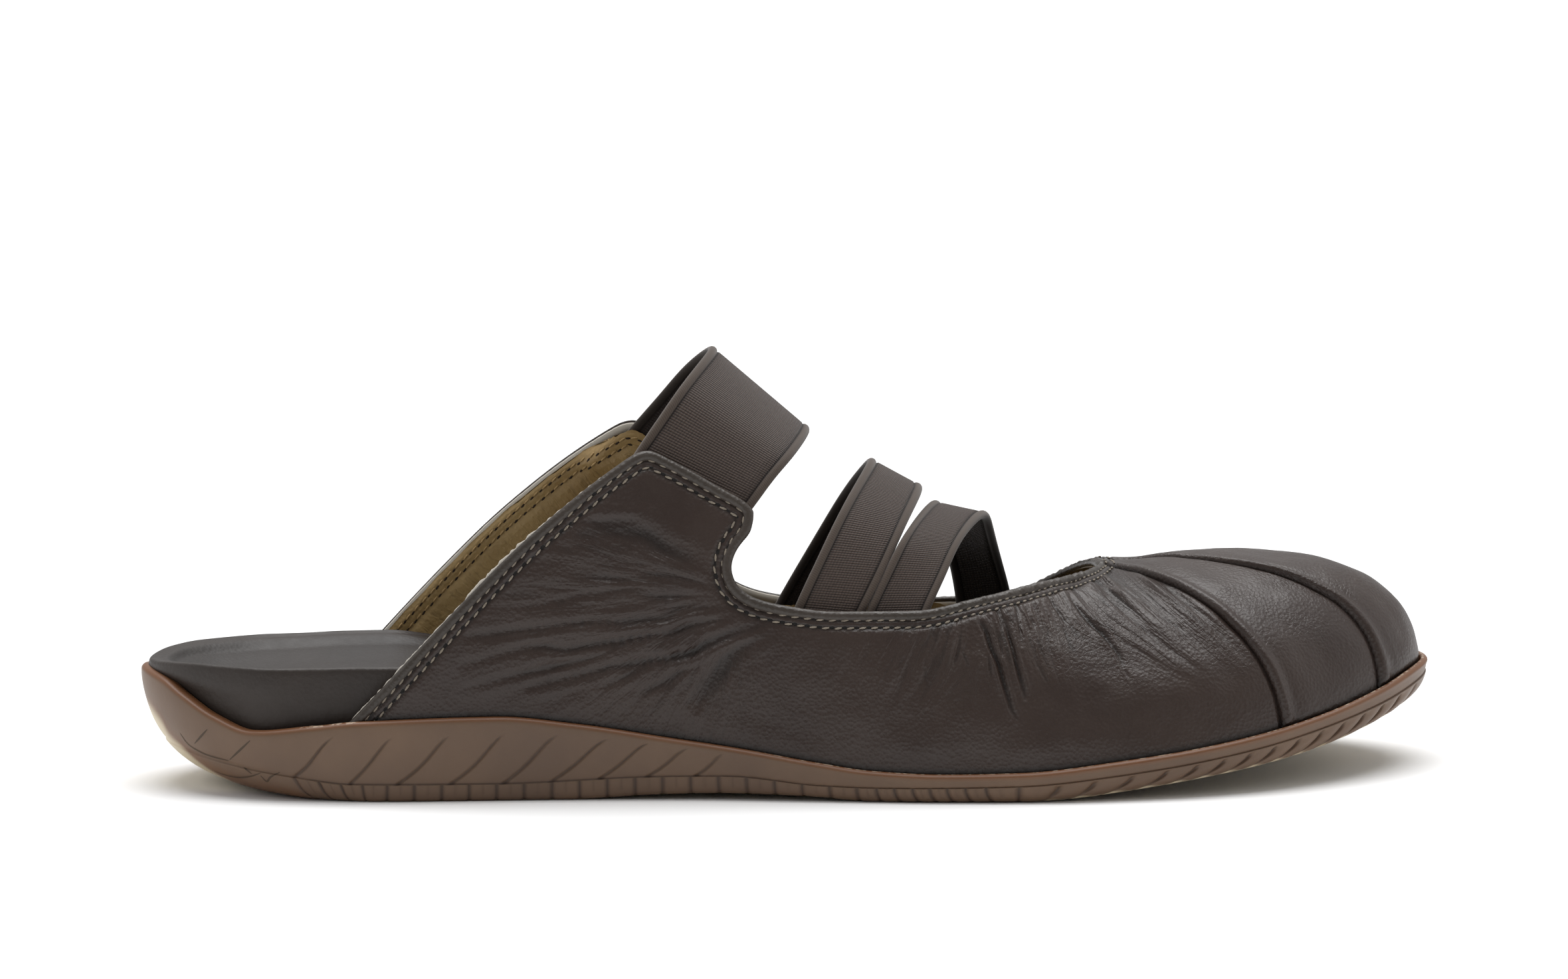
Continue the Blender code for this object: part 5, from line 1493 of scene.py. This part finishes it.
def gum_rubber(name, body, light, edge, dark, pale):
    material, tree, shader = finish_named(
        name, IOR=1.5, Specular_IOR_Level=0.4, Subsurface_Weight=0.05, Subsurface_Scale=0.002,
        Subsurface_Radius=(1.0, 0.45, 0.2),
    )
    place = add(tree, "TexCoord").outputs["Object"]
    clouds = add(tree, "TexNoise", {"Vector": place, "Scale": per_mm(18), "Detail": 3.0})
    mixed = add(tree, "ValToRGB", (clouds,), stops=((0.3, body), (0.7, light)))
    crumbs = add(tree, "TexNoise", {"Vector": place, "Scale": per_mm(1.1), "Detail": 3.0})
    broken = add(tree, "MapRange", {
        "Value": crumbs, "From Min": 0.47, "From Max": 0.6, "To Max": 0.8,
    })
    # Coats: the rim's painted glow, the pale tread, painted shade in the lines, and dried glue.
    coats = (
        ("rim", edge, 0.75), ("pale", pale, 1.0), ("line", dark, 0.85),
        ("glue", DRIED_GLUE, broken),
    )
    for key, tone, much in coats:
        painted = add(tree, "Attribute", attribute_name=key).outputs["Fac"]
        amount = add(tree, "Math", (painted, much), operation="MULTIPLY")
        mixed = add(tree, "Mix", {0: amount, 6: mixed, 7: colour(tone)}, data_type="RGBA")
    tree.links.new(mixed.outputs[2], shader.inputs["Base Color"])
    skin = add(tree, "TexNoise", {"Vector": place, "Scale": per_mm(0.9), "Detail": 4.0})
    bump = add(tree, "Bump", {"Height": skin, "Strength": 0.25, "Distance": 0.0001})
    tree.links.new(bump.outputs[0], shader.inputs["Normal"])
    matt = add(tree, "MapRange", {"Value": clouds, "To Min": 0.38, "To Max": 0.5})
    tree.links.new(matt.outputs[0], shader.inputs["Roughness"])
    return material


gum = gum_rubber("brown_gum_rubber", "#614c3c", "#6e5744", "#6e4220", "#33231a", "#c9bb9e")
# A plain dark gum as painted shade for the fine moulded lines round the heel.
groove_shade_gum = plain("gum_groove_shade", "#41301f", 0.6)
soft_gum = gum_rubber("pale_tread_rubber", "#94866c", "#a1937a", "#94866c", "#655842", "#c9bb9e")
wall = piece(sole_wall(), gum, "gum_rubber", "outsole")
piece(tread(), soft_gum, "gum_rubber")

# %% [markdown]
# The mould also drew fine lines round the curl of the heel. They are thinner than the wall's
# grid, so each is a ribbon of its own, cast onto the wall and painted dark as their shade.

# %% Fine lines round the heel
HEEL_LINES = (
    ((-123.0, 11.9), (-121.5, 10.0), (-119.0, 8.7), (-116.4, 8.0), (-113.6, 7.6)),
    ((-116.5, 5.3), (-114.5, 4.7), (-112.0, 4.4), (-109.4, 4.8), (-107.4, 5.6)),
    ((-110.7, 6.5), (-109.1, 5.3)),
    ((-107.4, 5.1), (-106.2, 4.0), (-105.4, 4.9), (-103.6, 5.9)),
    ((-120.2, 10.3), (-117.7, 13.4)),
    ((-113.4, 7.8), (-109.4, 11.9)),
)


def heel_lines():
    """Ribbons cast on the wall, on both sides, from a little above it."""
    tree, whole = surface_of(wall.data), bmesh.new()
    for places in HEEL_LINES:
        for side in (OUTER, INNER):
            path = through(np.array(places), np.linspace(0, 1, 8 * len(places)))
            plan = edge_point(path[:, 0], np.full(len(path), side), 0.5)
            start = at_height(plan, path[:, 1])
            look = Vector((0.02, -side, -0.16)).normalized()
            hits = [tree.ray_cast(Vector(place) * MM - look * 60 * MM, look) for place in start]
            middle = np.array([hit for hit, *_ in hits if hit]) / MM
            out = np.array([normal for _, normal, *_ in hits if normal])
            across = unit(np.cross(out, np.gradient(middle, axis=0))) * side
            wide = 0.22 * np.sin(math.pi * np.linspace(0.12, 0.88, len(middle)))[:, None, None]
            ribbon = middle[:, None] + across[:, None] * np.array([-1, 0, 1])[None, :, None] * wide
            ribbon = (ribbon + 0.04 * out[:, None])[:: int(side)]
            whole.from_mesh(lay("ribbon", ribbon, merge=0.001))
    mesh = bpy.data.meshes.new("heel_lines")
    whole.to_mesh(mesh)
    whole.free()
    return mesh


piece(heel_lines(), groove_shade_gum, "gum_rubber")

# %% [markdown]
# The shoe stands on white paper under one large soft light, which comes from overhead and a little
# behind, so its sides are darker than its top. The room is pale behind the shoe and dark in
# front of it. Two weak lights reach under the lifted heel and toe.

# %% Floor and light
floor_bm = bmesh.new()
bmesh.ops.create_grid(floor_bm, x_segments=1, y_segments=1, size=12.0)
floor_mesh = bpy.data.meshes.new("floor")
floor_bm.to_mesh(floor_mesh)
floor_bm.free()
floor = show("floor", floor_mesh)
floor_mesh.materials.append(plain("white_paper", "#f6f6f6", 0.9, Specular_IOR_Level=0.1))
floor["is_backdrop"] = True

bpy.context.scene.view_settings.view_transform = "Standard"
world = bpy.data.worlds.new("studio")
world.use_nodes = True
room = world.node_tree.nodes["Background"]
room.inputs["Color"].default_value = (1.0, 1.0, 1.0, 1.0)
seen = add(world.node_tree, "TexCoord").outputs["Generated"]
facing_back = add(world.node_tree, "SeparateXYZ", (seen,)).outputs["Y"]
front_to_back = add(world.node_tree, "MapRange", {
    "Value": facing_back, "From Min": -1.0, "To Min": 0.2, "To Max": 0.65,
})
world.node_tree.links.new(front_to_back.outputs[0], room.inputs["Strength"])
bpy.context.scene.world = world


def soft_light(name, elevation, azimuth, width, strength):
    """A wide far light: how high it stands, from which side, how wide it looks, how strong."""
    lamp = bpy.data.lights.new(name, "SUN")
    lamp.angle, lamp.energy = math.radians(width), strength
    up, turn = math.radians(elevation), math.radians(azimuth)
    towards = Vector((math.cos(up) * math.cos(turn), math.cos(up) * math.sin(turn), math.sin(up)))
    show(name, lamp).rotation_euler = towards.to_track_quat("Z", "Y").to_euler()


soft_light("overhead", 78, 72, 52, 2.93)
soft_light("under_heel", 25, 180, 60, 0.42)
soft_light("under_toe", 25, 0, 60, 0.3)

# %% Finish, with the boxes of the solids and of what is shown
boxes = [[list(corner) for corner in box] for box in (cad_box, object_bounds())]
grown = [round((boxes[1][k][a] - boxes[0][k][a]) / MM, 1) for k in (0, 1) for a in range(3)]
print("grown by, mm:", grown)
